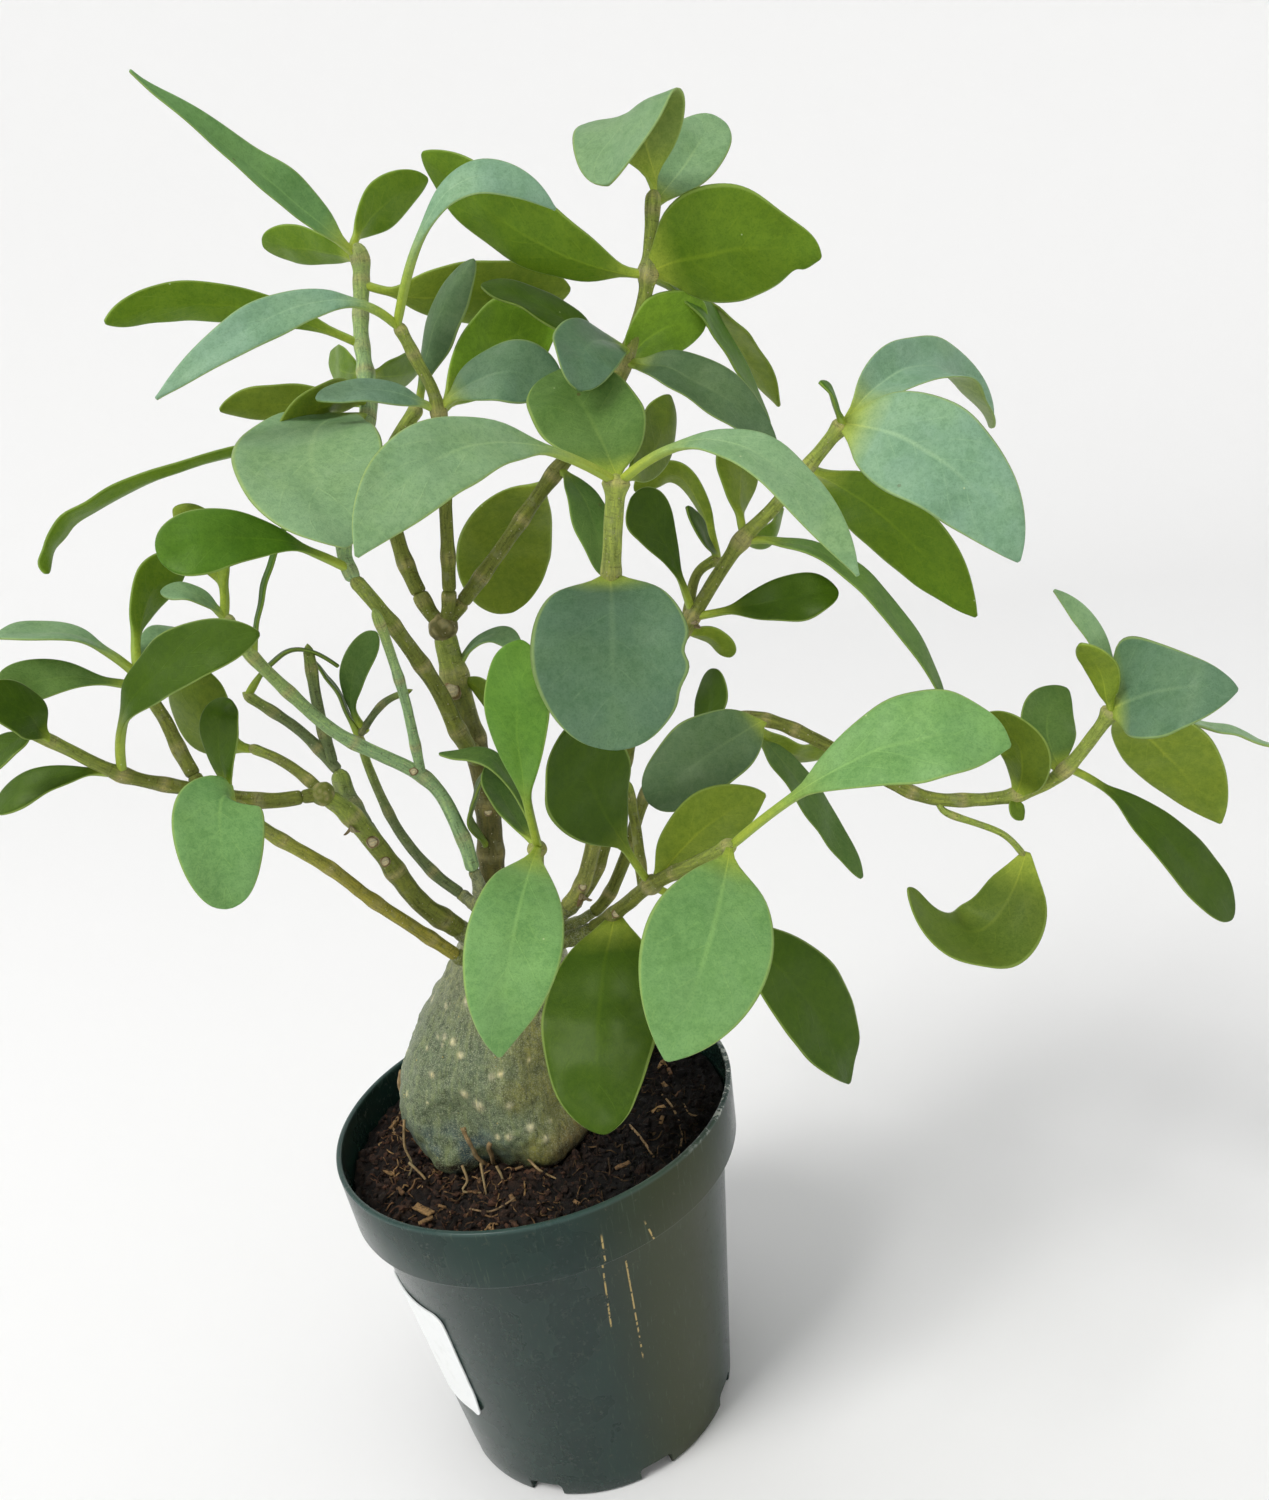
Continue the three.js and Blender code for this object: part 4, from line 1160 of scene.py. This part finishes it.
def around(z, angle, out=0.0):
    """A point at a height and angle, so far outside the tuber's skin."""
    return tuber_axis(z) + Vector((math.cos(angle), math.sin(angle), 0)) * (tuber_radius(z, angle) + out)


# %% Skin of the tuber
VOXEL = 0.75
SKIN = shade("5f6d50")
SKIN_OLIVE = shade("7f8148")
SKIN_BLUE = shade("43575c")
SKIN_CROWN = shade("7f8660")
SKIN_BROWN = shade("6b5a3e")
SKIN_DARK = shade("2c2018")
PORE = shade("cfc8a4")
PORE_COUNT = 130
PORE_SEED = 5
# Angle in degrees, height and radius of the largest pores
PORES = [(-118, 129, 1.0), (-107, 107, 0.9), (-98, 104, 1.2), (-120, 120, 0.8), (-112, 117, 0.7),
         (-80, 104, 0.7), (-72, 97, 0.8), (-84, 112, 0.6), (-130, 112, 0.7), (-66, 93, 0.7), (-90, 96, 0.6)]


def tuber_body():
    """The tuber with the stubs of its stems, as one closed mesh in voxels."""
    bm = start_piece()
    bmesh.ops.create_uvsphere(bm, u_segments=96, v_segments=72, radius=1)
    middle, reach = (TUBER_CROWN + TUBER_FOOT) / 2, (TUBER_CROWN - TUBER_FOOT) / 2
    for vertex in bm.verts:
        x, y, z = vertex.co
        height, angle = middle + reach * z, math.atan2(y, x)
        full = min(1.0, BLUNTNESS * math.hypot(x, y))
        inside = (full - 1) * tuber_radius(height, angle)
        vertex.co = around(height, angle, inside) * MM
    add_stubs(bm, "caudex")
    bmesh.ops.recalc_face_normals(bm, faces=bm.faces)
    rough = bpy.data.meshes.new("tuber_rough")
    bm.to_mesh(rough)
    bm.free()
    body = bpy.data.objects.new("tuber_rough", rough)
    bpy.context.scene.collection.objects.link(body)
    modifier = body.modifiers.new("voxels", "REMESH")
    modifier.mode = "VOXEL"
    modifier.voxel_size = VOXEL * MM
    skin = bpy.data.meshes.new_from_object(body.evaluated_get(bpy.context.evaluated_depsgraph_get()))
    bpy.data.objects.remove(body)
    return skin


def skin_tint(p, off):
    """The colour of the skin at a point in millimetres, so far off the tuber's own form."""
    patches = noise.noise(p / 8)
    tint = mixed(SKIN, SKIN_OLIVE, smooth_share(-10, 12, p.x + 14 * patches))
    tint = mixed(tint, SKIN_CROWN, smooth_share(118, 142, p.z))
    blue = smooth_share(-0.2, 0.3, noise.noise(p / 5 + Vector((7, 0, 0)))) * smooth_share(102, 93, p.z)
    tint = mixed(tint, SKIN_BLUE, 0.85 * blue * smooth_share(2, -14, p.x))
    tint = mixed(tint, SKIN_BROWN, 0.8 * smooth_share(96, 88, p.z) * smooth_share(0, 8, p.x))
    tint = mixed(tint, OLIVE_BARK, smooth_share(0.6, 2.0, off))
    # The skin is darker in a band just above the soil.
    return mixed(tint, SKIN_DARK, smooth_share(88, 84.5, p.z + 4 * noise.noise(p / 3)))


def add_skin(bm):
    """The remeshed tuber, smoothed, with low relief, pores and a colour at each vertex."""
    bm.from_mesh(tuber_body())
    for _ in range(3):
        bmesh.ops.smooth_vert(bm, verts=bm.verts, factor=0.5,
                              use_axis_x=True, use_axis_y=True, use_axis_z=True)
    bmesh.ops.recalc_face_normals(bm, faces=bm.faces)
    pores = [(around(z, math.radians(angle)), radius) for angle, z, radius in PORES]
    draw = random.Random(PORE_SEED)
    while len(pores) < PORE_COUNT:
        angle, z = draw.uniform(-math.pi, math.pi), draw.uniform(88, 140)
        pores.append((around(z, angle), 0.2 + 0.5 * draw.random() ** 2))
    bm.normal_update()
    for vertex in bm.verts:
        p = vertex.co / MM
        axis = tuber_axis(p.z)
        angle = math.atan2(p.y - axis.y, p.x - axis.x)
        off = (p - axis).length - tuber_radius(p.z, angle)
        relief = 0.8 * noise.noise(p / 7) + 0.4 * noise.noise(p / 2.6) + 0.16 * noise.noise(p / 1.1)
        tint = skin_tint(p, off)
        for place, radius in pores:
            gap = (p - place).length
            if gap < 2.5 * radius:
                bump = math.exp(-(gap / radius) ** 2)
                relief += 0.3 * radius * bump
                tint = mixed(tint, PORE, min(1.0, 1.5 * bump) * 0.85)
        vertex.co += vertex.normal * relief * MM
        record(bm, vertex, tint, (p.z, math.cos(angle), math.sin(angle)))


# %% [markdown]
# ## Roots on the tuber
# A few tan roots creep down the flank and into the soil. They are thin crooked tubes on the same
# kind of line as the stems.

# %% Roots
ROOT_TINT = shade("b59a72")
ROOT_RADIUS = 0.7
ROOT_END = 78
# Angle in degrees and height where each begins, and how far it turns on its way down
ROOTS = [(-165, 108, -14), (-112, 97, 10), (-96, 94, -8), (150, 100, 12), (40, 98, -12)]
# Fine rootlets at the foot, as points in millimetres
ROOTLETS = [
    [(-33, -8, 98), (-34, -10, 92), (-33, -12, 87), (-35, -13, 83)],
    [(-33, -12, 88), (-30, -15, 86), (-28, -17, 83)],
    [(-19, -18, 89), (-18, -21, 86.5), (-19, -23, 84.5), (-14, -25, 84.5)],
    [(-14, -20, 89), (-13, -23, 87), (-13, -25, 84)],
    [(-10, -21, 88.5), (-9, -23, 86.5), (-8, -25, 84)],
    [(-2, -20, 88), (1, -23, 86), (5, -25, 84.4)],
]


def crooked(points, seed, amount=0.35):
    """The same points, each moved a little."""
    draw = random.Random(seed)
    return [Vector(p) + Vector([draw.uniform(-amount, amount) for _ in range(3)]) for p in points]


def add_root(bm, points, thick, seed):
    line = Line(crooked(points, seed))

    def radius(distance, angle):
        knots = noise.noise(Vector((distance / 1.3, seed, angle)))
        return thick * (1 - 0.45 * distance / line.length) * (1 + 0.25 * knots)

    def tint(distance, angle):
        return mixed(ROOT_TINT, SKIN_DARK, 0.35 + 0.5 * noise.noise(Vector((distance / 2, seed, 0))))

    add_tube(bm, line, 0, line.length, radius, tint, sides=7, step=0.7, material_index=1)


def make_caudex():
    bm = start_piece()
    add_skin(bm)
    for seed, (angle, top, turn_aside) in enumerate(ROOTS):
        points = []
        for step in range(8):
            share = step / 7
            at = math.radians(angle + turn_aside * share)
            points.append(around(mixed(top, ROOT_END, share), at, 0.5 * ROOT_RADIUS))
        add_root(bm, points, ROOT_RADIUS, seed)
    for seed, points in enumerate(ROOTLETS):
        add_root(bm, points, 0.4, 20 + seed)
    finish_piece(bm, "tuber", (make_skin_finish(), bark_finish), "caudex_skin", "caudex")


def make_skin_finish():
    finish = Finish("tuber_skin", Specular_IOR_Level=0.4)
    tint = finish.painted("tint")
    grain = finish.painted("grain", "Vector")
    grit = finish.cloud(0.35, detail=4, roughness=0.75)
    scales = finish.cloud(1.3, detail=5, roughness=0.75)
    blots = finish.cloud(3.4, detail=5, roughness=0.7)
    patches = finish.cloud(7, detail=3)
    furrows = finish.cloud(0, detail=5, roughness=0.7, at=finish.scaled(grain, (0.13, 16, 16)))
    pores = finish.dots(2.6, 0.45, 0.24)
    colour = finish.mix(blots.ramp(0.48, 0.6) * 0.4, tint, finish.scaled(tint, (1.45, 1.35, 0.95)))
    colour = finish.mix(scales.ramp(0.5, 0.6) * 0.55, colour, finish.scaled(tint, (1.8, 1.75, 1.6)))
    colour = finish.mix(scales.ramp(0.47, 0.36) * 0.75, colour, finish.scaled(tint, (0.3, 0.34, 0.3)))
    colour = finish.mix(furrows.ramp(0.54, 0.6) * 0.5, colour, finish.scaled(tint, (2.1, 1.9, 1.4)))
    colour = finish.mix(furrows.ramp(0.45, 0.38) * 0.5, colour, finish.scaled(tint, (0.35, 0.37, 0.32)))
    colour = finish.mix(grit.ramp(0.52, 0.59) * 0.55, colour, paint("b4b896"))
    colour = finish.mix(pores * 0.6, colour, paint("c4b465"))
    finish.relief(scales * 0.7 + grit * 0.4 + pores * 0.6 + furrows * 0.4, 0.4)
    return finish.wear(Base_Color=colour, Roughness=0.24 + 0.4 * patches)


make_caudex()

# %% [markdown]
# ## The soil
# Potting soil is peat: dark crumbs, with tan fibres and chips of bark. A flat disc with a bump map
# looks like felt, because its outline has no crumbs. So the surface is a turned disc raised by
# noise, with many small crumbs and fibres strewn on it by seeded draws. Each crumb is a coarse
# sphere of twenty faces, whose corners are pushed in and out.

# %% Soil surface
SOIL_LEVEL = 84
SOIL_RADIUS = 49.7
SOIL_RINGS = 74
SOIL_SPOKES = 200
# Radius and height of each corner of the soil below its surface
SOIL_SIDE = [(49.3, 78.7), (46.0, 78.7), (36.0, 2.3), (0, 2.3)]
PEAT = shade("33241b")
# The darkest peat colours some crumbs and fibres, and is also the painted shade in the soil's hollows
PEAT_DARK_AND_SHADE = shade("0f0a07")
PEAT_RED = shade("4f3526")
STRAW = shade("a58458")


def soil_height(x, y):
    """How high the soil lies, in millimetres: broad swells, clods, and a gap round the tuber."""
    swell = 1.1 * noise.noise(Vector((x, y, 0)) / 13)
    clods = 2.6 * abs(noise.noise(Vector((x, y, 3)) / 3.6))
    clods += 1.6 * abs(noise.noise(Vector((x, y, 9)) / 1.6))
    away = Vector((x, y, 0)) - TUBER_MIDDLE
    clear = away.length - tuber_radius(SOIL_LEVEL, math.atan2(away.y, away.x))
    ridge = 0.8 * math.exp(-((clear - 6) / 3.5) ** 2)
    gap = 1.5 * math.exp(-(max(0.0, clear) / 1.8) ** 2)
    return SOIL_LEVEL + swell + clods + ridge - gap - 0.7


def peat_tint(draw, x):
    """The colour of one crumb, which is darker on the right, in painted shade."""
    tint = mixed(PEAT_DARK_AND_SHADE, PEAT, draw.random())
    return painted_soil_shade(x) * (mixed(tint, PEAT_RED, draw.random()) if draw.random() < 0.35 else tint)


def painted_soil_shade(x):
    """How light the soil is painted: lighter on the left, where the light falls, and darker on the right,
    in painted shade under the leaves.
    """
    return mixed(1.5, 0.3, smooth_share(-14, 24, x))


def add_soil_body(bm):
    """The soil as turned from its outline, with its top raised in crumbs."""
    top = [(SOIL_RADIUS * ring / SOIL_RINGS, SOIL_LEVEL) for ring in range(SOIL_RINGS + 1)]
    outline = [bm.verts.new((across, 0, height)) for across, height in top + SOIL_SIDE]
    edges = [bm.edges.new(pair) for pair in zip(outline, outline[1:])]
    bmesh.ops.spin(bm, geom=outline + edges, cent=(0, 0, 0), axis=(0, 0, 1), angle=2 * math.pi,
                   steps=SOIL_SPOKES, use_merge=True, dvec=(0, 0, 0))
    bmesh.ops.remove_doubles(bm, verts=bm.verts, dist=0.001)
    for vertex in bm.verts:
        x, y, z = vertex.co
        if z > SOIL_LEVEL - 0.1:
            z = soil_height(x, y)
        # The low places of the soil's top are painted darker, as shade in the hollows between the clods.
        high = smooth_share(-0.2, 2.4, z - SOIL_LEVEL + 1.1 * noise.noise(Vector((x, y, 5)) / 1.3))
        record(bm, vertex, painted_soil_shade(x) * mixed(PEAT_DARK_AND_SHADE, PEAT, high), (x, y, z))
        vertex.co = Vector((x, y, z)) * MM


# %% Crumbs, fibres and chips
SOIL_SEED = 11
CRUMBS = 3000
FIBRES = 800
CHIPS = 40


def strewn_place(draw, margin):
    """A place on the soil, clear of the pot's wall and the tuber."""
    while True:
        across, angle = (SOIL_RADIUS - margin) * math.sqrt(draw.random()), draw.uniform(0, 2 * math.pi)
        x, y = across * math.cos(angle), across * math.sin(angle)
        away = Vector((x, y, 0)) - TUBER_MIDDLE
        if away.length > tuber_radius(SOIL_LEVEL, math.atan2(away.y, away.x)) - 1:
            return x, y


def crumb_form():
    """The points and the faces of one round crumb, to be laid down many times."""
    bm = bmesh.new()
    bmesh.ops.create_icosphere(bm, subdivisions=1, radius=1)
    points = [vertex.co.copy() for vertex in bm.verts]
    faces = [[vertex.index for vertex in face.verts] for face in bm.faces]
    bm.free()
    return points, faces


def add_crumb(bm, form, draw):
    x, y = strewn_place(draw, 1.2)
    size = draw.uniform(0.25, 0.85) * (1.7 if draw.random() < 0.12 else 1)
    squash = Vector((draw.uniform(0.7, 1.4), draw.uniform(0.7, 1.4), draw.uniform(0.5, 1.0)))
    heading = Matrix.Rotation(draw.uniform(0, math.pi), 3, "Z")
    turned = heading @ Matrix.Rotation(draw.uniform(-1, 1), 3, "X")
    tint = peat_tint(draw, x)
    centre = Vector((x, y, soil_height(x, y) + draw.uniform(0.0, 0.7) * size))
    points, faces = form
    made = []
    for point in points:
        lump = point * size * draw.uniform(0.6, 1.3)
        vertex = bm.verts.new((centre + turned @ (lump * squash)) * MM)
        record(bm, vertex, tint, (x, y, 0))
        made.append(vertex)
    for face in faces:
        bm.faces.new([made[i] for i in face])


def add_fibre(bm, draw):
    x, y = strewn_place(draw, 5)
    length, angle = draw.uniform(1.2, 5), draw.uniform(0, math.pi)
    points = []
    for step in range(4):
        share = step / 3 - 0.5
        px = x + length * share * math.cos(angle) + draw.uniform(-0.5, 0.5)
        py = y + length * share * math.sin(angle) + draw.uniform(-0.5, 0.5)
        points.append((px, py, soil_height(px, py) + draw.uniform(0.1, 1.1)))
    thick = draw.uniform(0.08, 0.26)
    # The fibres take the same painted shade, darker on the right of the soil.
    tint = painted_soil_shade(x) * mixed(mixed(PEAT_DARK_AND_SHADE, PEAT_RED, draw.random()), STRAW, 0.9 * draw.random() ** 4)
    line = Line(points, steps=4)
    add_tube(bm, line, 0, line.length, lambda d, a: thick, lambda d, a: tint, sides=4, step=line.length / 6)


# Roots that lie on the soil, as places on it, and the radius of each
SOIL_ROOTS = [([(32, 5.5), (35.3, -3.8), (36.8, -15.4), (35, -26.2)], 0.3),
              ([(23.8, -10.5), (26.6, -15.7), (29, -22.7)], 0.35),
              ([(38.5, -4.8), (39.8, -9.9), (43, -12)], 0.25),
              ([(-16.4, -31.3), (-11, -33), (-5, -31)], 0.25), ([(-38, 4), (-42, 12), (-41, 20)], 0.3)]


def add_soil_root(bm, places, thick):
    line = Line([(x, y, soil_height(x, y) + 0.5) for x, y in places], steps=8)
    tint = mixed(PEAT_RED, ROOT_TINT, 0.6)
    add_tube(bm, line, 0, line.length, lambda d, a: thick, lambda d, a: tint, sides=6, step=1)


def add_chip(bm, x, y, length, angle, tint):
    """A flat chip of bark."""
    z = soil_height(x, y) + 0.7
    chip = slab(6, 3)
    for vertex in chip.verts:
        local = Vector((vertex.co.x * length, vertex.co.y * length * 0.3, vertex.co.z * 0.5))
        local.z += 0.5 * noise.noise(Vector((local.x / 2, local.y, x)))
        vertex.co = (Vector((x, y, z)) + Matrix.Rotation(angle, 3, "Z") @ local) * MM
        record(chip, vertex, tint, (x, y, 0))
    join(bm, chip)


def make_soil_finish():
    finish = Finish("peat", Specular_IOR_Level=0.35)
    tint = finish.painted("tint")
    grit = finish.cloud(0.35, detail=5, roughness=0.75)
    clods = finish.cloud(1.2, detail=4, roughness=0.65)
    colour = finish.mix(grit.ramp(0.5, 0.62) * 0.6, tint, finish.scaled(tint, (2.4, 2.1, 1.9)))
    # Where the relief is low, the peat is painted darker, as shade in the gaps between the clods.
    colour = finish.mix(clods.ramp(0.5, 0.38) * 0.75, colour, finish.scaled(tint, (0.25, 0.24, 0.22)))
    finish.relief(grit * 0.6 + clods, 0.8)
    return finish.wear(Base_Color=colour, Roughness=0.6 + 0.3 * clods)


def make_soil():
    draw = random.Random(SOIL_SEED)
    peat = make_soil_finish()
    body, crumbs, litter = start_piece(), start_piece(), start_piece()
    add_soil_body(body)
    form = crumb_form()
    for _ in range(CRUMBS):
        add_crumb(crumbs, form, draw)
    for _ in range(FIBRES):
        add_fibre(litter, draw)
    for _ in range(CHIPS):
        x, y = strewn_place(draw, 5)
        length, heading = draw.uniform(2, 4), draw.uniform(0, 3)
        add_chip(litter, x, y, length, heading, mixed(PEAT_RED, STRAW, draw.random()))
    add_chip(litter, -28, -28.5, 6.5, -0.75, STRAW)
    for places, thick in SOIL_ROOTS:
        add_soil_root(litter, places, thick)
    finish_piece(body, "potting_soil", (peat,), "soil_peat", "soil")
    finish_piece(crumbs, "soil_crumbs", (peat,), "soil_peat", "soil", smooth=False)
    finish_piece(litter, "soil_fibres", (peat,), "soil_peat", "soil")


make_soil()

# %% [markdown]
# ## The pot
# A nursery pot is moulded in one piece of thin plastic: a tapering body, a ledge, and a collar that
# stiffens the rim. It is turned from its outline and its rings are bevelled, since a moulded edge is
# never sharp. Slots for the water are cut from the corner of the floor. Thin scratches, a worn rim,
# a little dust and fine upright hairs in the gloss tell that it has been used.

# %% Turn the pot
POT_HEIGHT = 93
RIM_RADIUS = 52.5
BASE_RADIUS = 37.5
COLLAR_BOTTOM = 77
COLLAR_RADIUS = 51.4
BODY_RADIUS = 48.0
WALL = 1.4
FLOOR = 2
SLOTS = 8
SLOT_SIZE = Vector((9, 9, 8))
# Radius and height of each ring that is bevelled, and the size of its bevel
ROUNDED = [(BASE_RADIUS, 0, 0.9), (COLLAR_RADIUS, COLLAR_BOTTOM, 0.6), (BODY_RADIUS, COLLAR_BOTTOM, 0.5),
           (RIM_RADIUS, POT_HEIGHT, 0.5), (RIM_RADIUS - WALL, POT_HEIGHT, 0.45),
           (COLLAR_RADIUS - WALL, COLLAR_BOTTOM + WALL, 0.6),
           (BODY_RADIUS - WALL, COLLAR_BOTTOM + WALL, 0.5)]


def on_ring(edge, across, height):
    """Whether both ends of an edge lie on a ring of the pot."""
    return all(abs(math.hypot(v.co.x, v.co.y) - across) < 0.05 and abs(v.co.z - height) < 0.05
               for v in edge.verts)


def turned_pot():
    """The pot without its slots. A ring above them keeps the shading of the wall above it clean."""
    bm = bmesh.new()
    ring_height = SLOT_SIZE.z / 2 + 2
    ring_radius = mixed(BASE_RADIUS, BODY_RADIUS, ring_height / COLLAR_BOTTOM)
    outline = [(0, 0), (BASE_RADIUS, 0), (ring_radius, ring_height), (BODY_RADIUS, COLLAR_BOTTOM),
               (COLLAR_RADIUS, COLLAR_BOTTOM), (RIM_RADIUS, POT_HEIGHT),
               (RIM_RADIUS - WALL, POT_HEIGHT), (COLLAR_RADIUS - WALL, COLLAR_BOTTOM + WALL),
               (BODY_RADIUS - WALL, COLLAR_BOTTOM + WALL), (BASE_RADIUS - WALL, FLOOR), (0, FLOOR)]
    points = [bm.verts.new((across, 0, height)) for across, height in outline]
    edges = [bm.edges.new(pair) for pair in zip(points, points[1:])]
    bmesh.ops.spin(bm, geom=points + edges, cent=(0, 0, 0), axis=(0, 0, 1), angle=2 * math.pi,
                   steps=180, use_merge=True, dvec=(0, 0, 0))
    bmesh.ops.remove_doubles(bm, verts=bm.verts, dist=0.001)
    bmesh.ops.recalc_face_normals(bm, faces=bm.faces)
    for across, height, size in ROUNDED:
        ring = [edge for edge in bm.edges if on_ring(edge, across, height)]
        bmesh.ops.bevel(bm, geom=ring, offset=size, segments=3, affect="EDGES", profile=0.5, material=-1)
    bmesh.ops.scale(bm, vec=Vector((MM, MM, MM)), verts=bm.verts)
    return bm


def slot_cutters():
    """Boxes round the foot of the pot, one for each slot."""
    bm = bmesh.new()
    for number in range(SLOTS):
        angle = (number + 0.5) * 2 * math.pi / SLOTS
        spot = Matrix.Rotation(angle, 4, "Z") @ Matrix.Translation((BASE_RADIUS, 0, 0))
        made = bmesh.ops.create_cube(bm, size=1, matrix=spot @ Matrix.Diagonal((*SLOT_SIZE, 1)))["verts"]
        edges = list({edge for vertex in made for edge in vertex.link_edges})
        bmesh.ops.bevel(bm, geom=edges, offset=1.2, segments=3, affect="EDGES", profile=0.5, material=-1)
    bmesh.ops.scale(bm, vec=Vector((MM, MM, MM)), verts=bm.verts)
    return bm


def as_object(bm, name):
    mesh = bpy.data.meshes.new(name)
    bm.to_mesh(mesh)
    bm.free()
    made = bpy.data.objects.new(name, mesh)
    bpy.context.scene.collection.objects.link(made)
    return made


def make_pot():
    whole = as_object(turned_pot(), "pot_whole")
    cutters = as_object(slot_cutters(), "slot_cutters")
    modifier = whole.modifiers.new("slots", "BOOLEAN")
    modifier.operation = "DIFFERENCE"
    modifier.solver = "EXACT"
    modifier.object = cutters
    mesh = bpy.data.meshes.new_from_object(whole.evaluated_get(bpy.context.evaluated_depsgraph_get()))
    bpy.data.objects.remove(whole)
    bpy.data.objects.remove(cutters)
    bm = bmesh.new()
    bm.from_mesh(mesh)
    piece = finish_piece(bm, "nursery_pot", (make_pot_finish(),), "pot_plastic", "pot")
    piece.data.set_sharp_from_angle(angle=math.radians(35))


# %% Pot finish
# Thin scratches on the wall: angle in degrees at the top and at the foot, heights of both ends
SCRATCHES = [(-72.7, -74.4, 86, 54), (-61.0, -58.0, 84, 74), (-102.0, -87.0, 46, 51),
             (-66.5, -66.0, 74, 40)]
# Angles in degrees of the painted sheen, a yellowish painted reflection down the wall, and of the worn part
# of the rim
PAINTED_SHEEN_ANGLE = -48
WORN_ANGLE = -12
# Height of the band at the top of the rim that carries a painted highlight and the wear
LIP_HEIGHT = 1.2


def make_pot_finish():
    finish = Finish("moulded_plastic", IOR=1.5, Specular_IOR_Level=0.2,
                    Coat_Weight=0.12, Coat_Roughness=0.1)
    x, y, z = finish.parts(finish.place())
    angle = finish.node("Math", {"operation": "ARCTAN2"}, {0: y, 1: x})
    patches = finish.cloud(14, detail=3)
    dust = finish.cloud(1.8, detail=5, roughness=0.75)
    broken = finish.cloud(1.2, detail=3)
    hairs = finish.cloud(0, detail=4, roughness=0.7, at=finish.scaled(finish.place(), (1500, 1500, 45)))
    marks = 0
    for top_angle, foot_angle, top, foot in SCRATCHES:
        top, foot = top * MM, foot * MM
        lean = math.radians(top_angle - foot_angle) / (top - foot)
        line = math.radians(foot_angle) + (z - foot) * lean
        thin = abs(angle - line).ramp(0.006, 0.0025)
        marks = marks + thin * z.ramp(foot, foot + 0.002) * z.ramp(top, top - 0.002)
    marks = marks * broken.ramp(0.45, 0.54)
    painted_sheen = abs(angle - math.radians(PAINTED_SHEEN_ANGLE)).ramp(math.radians(34), math.radians(4))
    colour = finish.mix(patches.ramp(0.4, 0.65) * 0.5, paint("182c27"), paint("1f362f"))
    # A yellowish stripe down the wall is painted on, as a painted reflection of the light.
    colour = finish.mix(painted_sheen * 0.8, colour, paint("30350f"))
    colour = finish.mix(hairs.ramp(0.58, 0.68) * 0.3, colour, paint("54614f"))
    lip_highlight_and_wear = z.ramp((POT_HEIGHT - LIP_HEIGHT) * MM, (POT_HEIGHT - 0.2) * MM)
    worn = lip_highlight_and_wear * abs(angle - math.radians(WORN_ANGLE)).ramp(math.radians(42), 0.0)
    # The band at the top of the rim is painted a little lighter, as a painted highlight along the lip; the
    # worn part of the rim lies in the same band.
    colour = finish.mix(lip_highlight_and_wear * 0.3, colour, paint("55706b"))
    flaked = finish.cloud(2.2, detail=5, roughness=0.7).ramp(0.5, 0.56)
    colour = finish.mix(worn * flaked, colour, paint("c3c8c0"))
    colour = finish.mix(dust.ramp(0.6, 0.7) * 0.25, colour, paint("6f6a58"))
    colour = finish.mix(marks * 0.85, colour, paint("c2a86a"))
    finish.relief(hairs * 0.4 + patches * 0.2 + dust * 0.2, 0.05, 0.4)
    rough = 0.2 + 0.14 * patches + dust.ramp(0.55, 0.75) * 0.2 + marks * 0.2 + painted_sheen * 0.12
    return finish.wear(Base_Color=colour, Roughness=rough)


make_pot()

# %% [markdown]
# ## The label
# A self-adhesive label with round corners sticks to the wall. It is blank. A rectangle with
# bevelled corners is cut into narrow strips, thickened and bent round the pot.

# %% Label
LABEL_WIDTH = 26
LABEL_HEIGHT = 35
LABEL_BOTTOM = 25
LABEL_ANGLE = math.radians(-146)
LABEL_CORNER = 3
LABEL_THICKNESS = 0.35
LABEL_STRIPS = 26


def cut(bm, place, direction):
    bmesh.ops.bisect_plane(bm, geom=[*bm.verts, *bm.edges, *bm.faces], plane_co=place,
                           plane_no=direction)


def make_label():
    bm = bmesh.new()
    bmesh.ops.create_grid(bm, x_segments=1, y_segments=1, size=0.5)
    bmesh.ops.scale(bm, vec=Vector((LABEL_WIDTH, LABEL_HEIGHT, 1)), verts=bm.verts)
    bmesh.ops.bevel(bm, geom=list(bm.verts), offset=LABEL_CORNER, segments=6, affect="VERTICES",
                    profile=0.5, material=-1)
    for strip in range(1, LABEL_STRIPS):
        cut(bm, (LABEL_WIDTH * (strip / LABEL_STRIPS - 0.5), 0, 0), (1, 0, 0))
    for strip in range(1, LABEL_STRIPS):
        cut(bm, (0, LABEL_HEIGHT * (strip / LABEL_STRIPS - 0.5), 0), (0, 1, 0))
    upper = bmesh.ops.extrude_face_region(bm, geom=list(bm.faces), use_keep_orig=True)["geom"]
    for vertex in upper:
        if isinstance(vertex, bmesh.types.BMVert):
            vertex.co.z = 1
    for vertex in bm.verts:
        x, y, z = vertex.co
        height = LABEL_BOTTOM + y + LABEL_HEIGHT / 2
        wall = mixed(BASE_RADIUS, BODY_RADIUS, height / COLLAR_BOTTOM)
        lifted = 0.5 * smooth_share(8, 13, x) * smooth_share(-8, -17, y)
        radius = wall + 0.12 + 0.12 * noise.noise(Vector((x, y, 0)) / 6) + lifted + z * LABEL_THICKNESS
        angle = LABEL_ANGLE + x / BASE_RADIUS * 0.85
        vertex.co = Vector((radius * math.cos(angle), radius * math.sin(angle), height)) * MM
    finish = Finish("label_paper", Specular_IOR_Level=0.35)
    smudge = finish.cloud(6, detail=5, roughness=0.65)
    colour = finish.mix(smudge.ramp(0.5, 0.75) * 0.35, paint("eceeee"), paint("c9ccc8"))
    finish.relief(finish.cloud(0.6, detail=3), 0.05)
    paper = finish.wear(Base_Color=colour, Roughness=0.5 + 0.2 * smudge)
    piece = finish_piece(bm, "label", (paper,), "label_paper", "blank_label")
    piece.data.set_sharp_from_angle(angle=math.radians(50))


make_label()
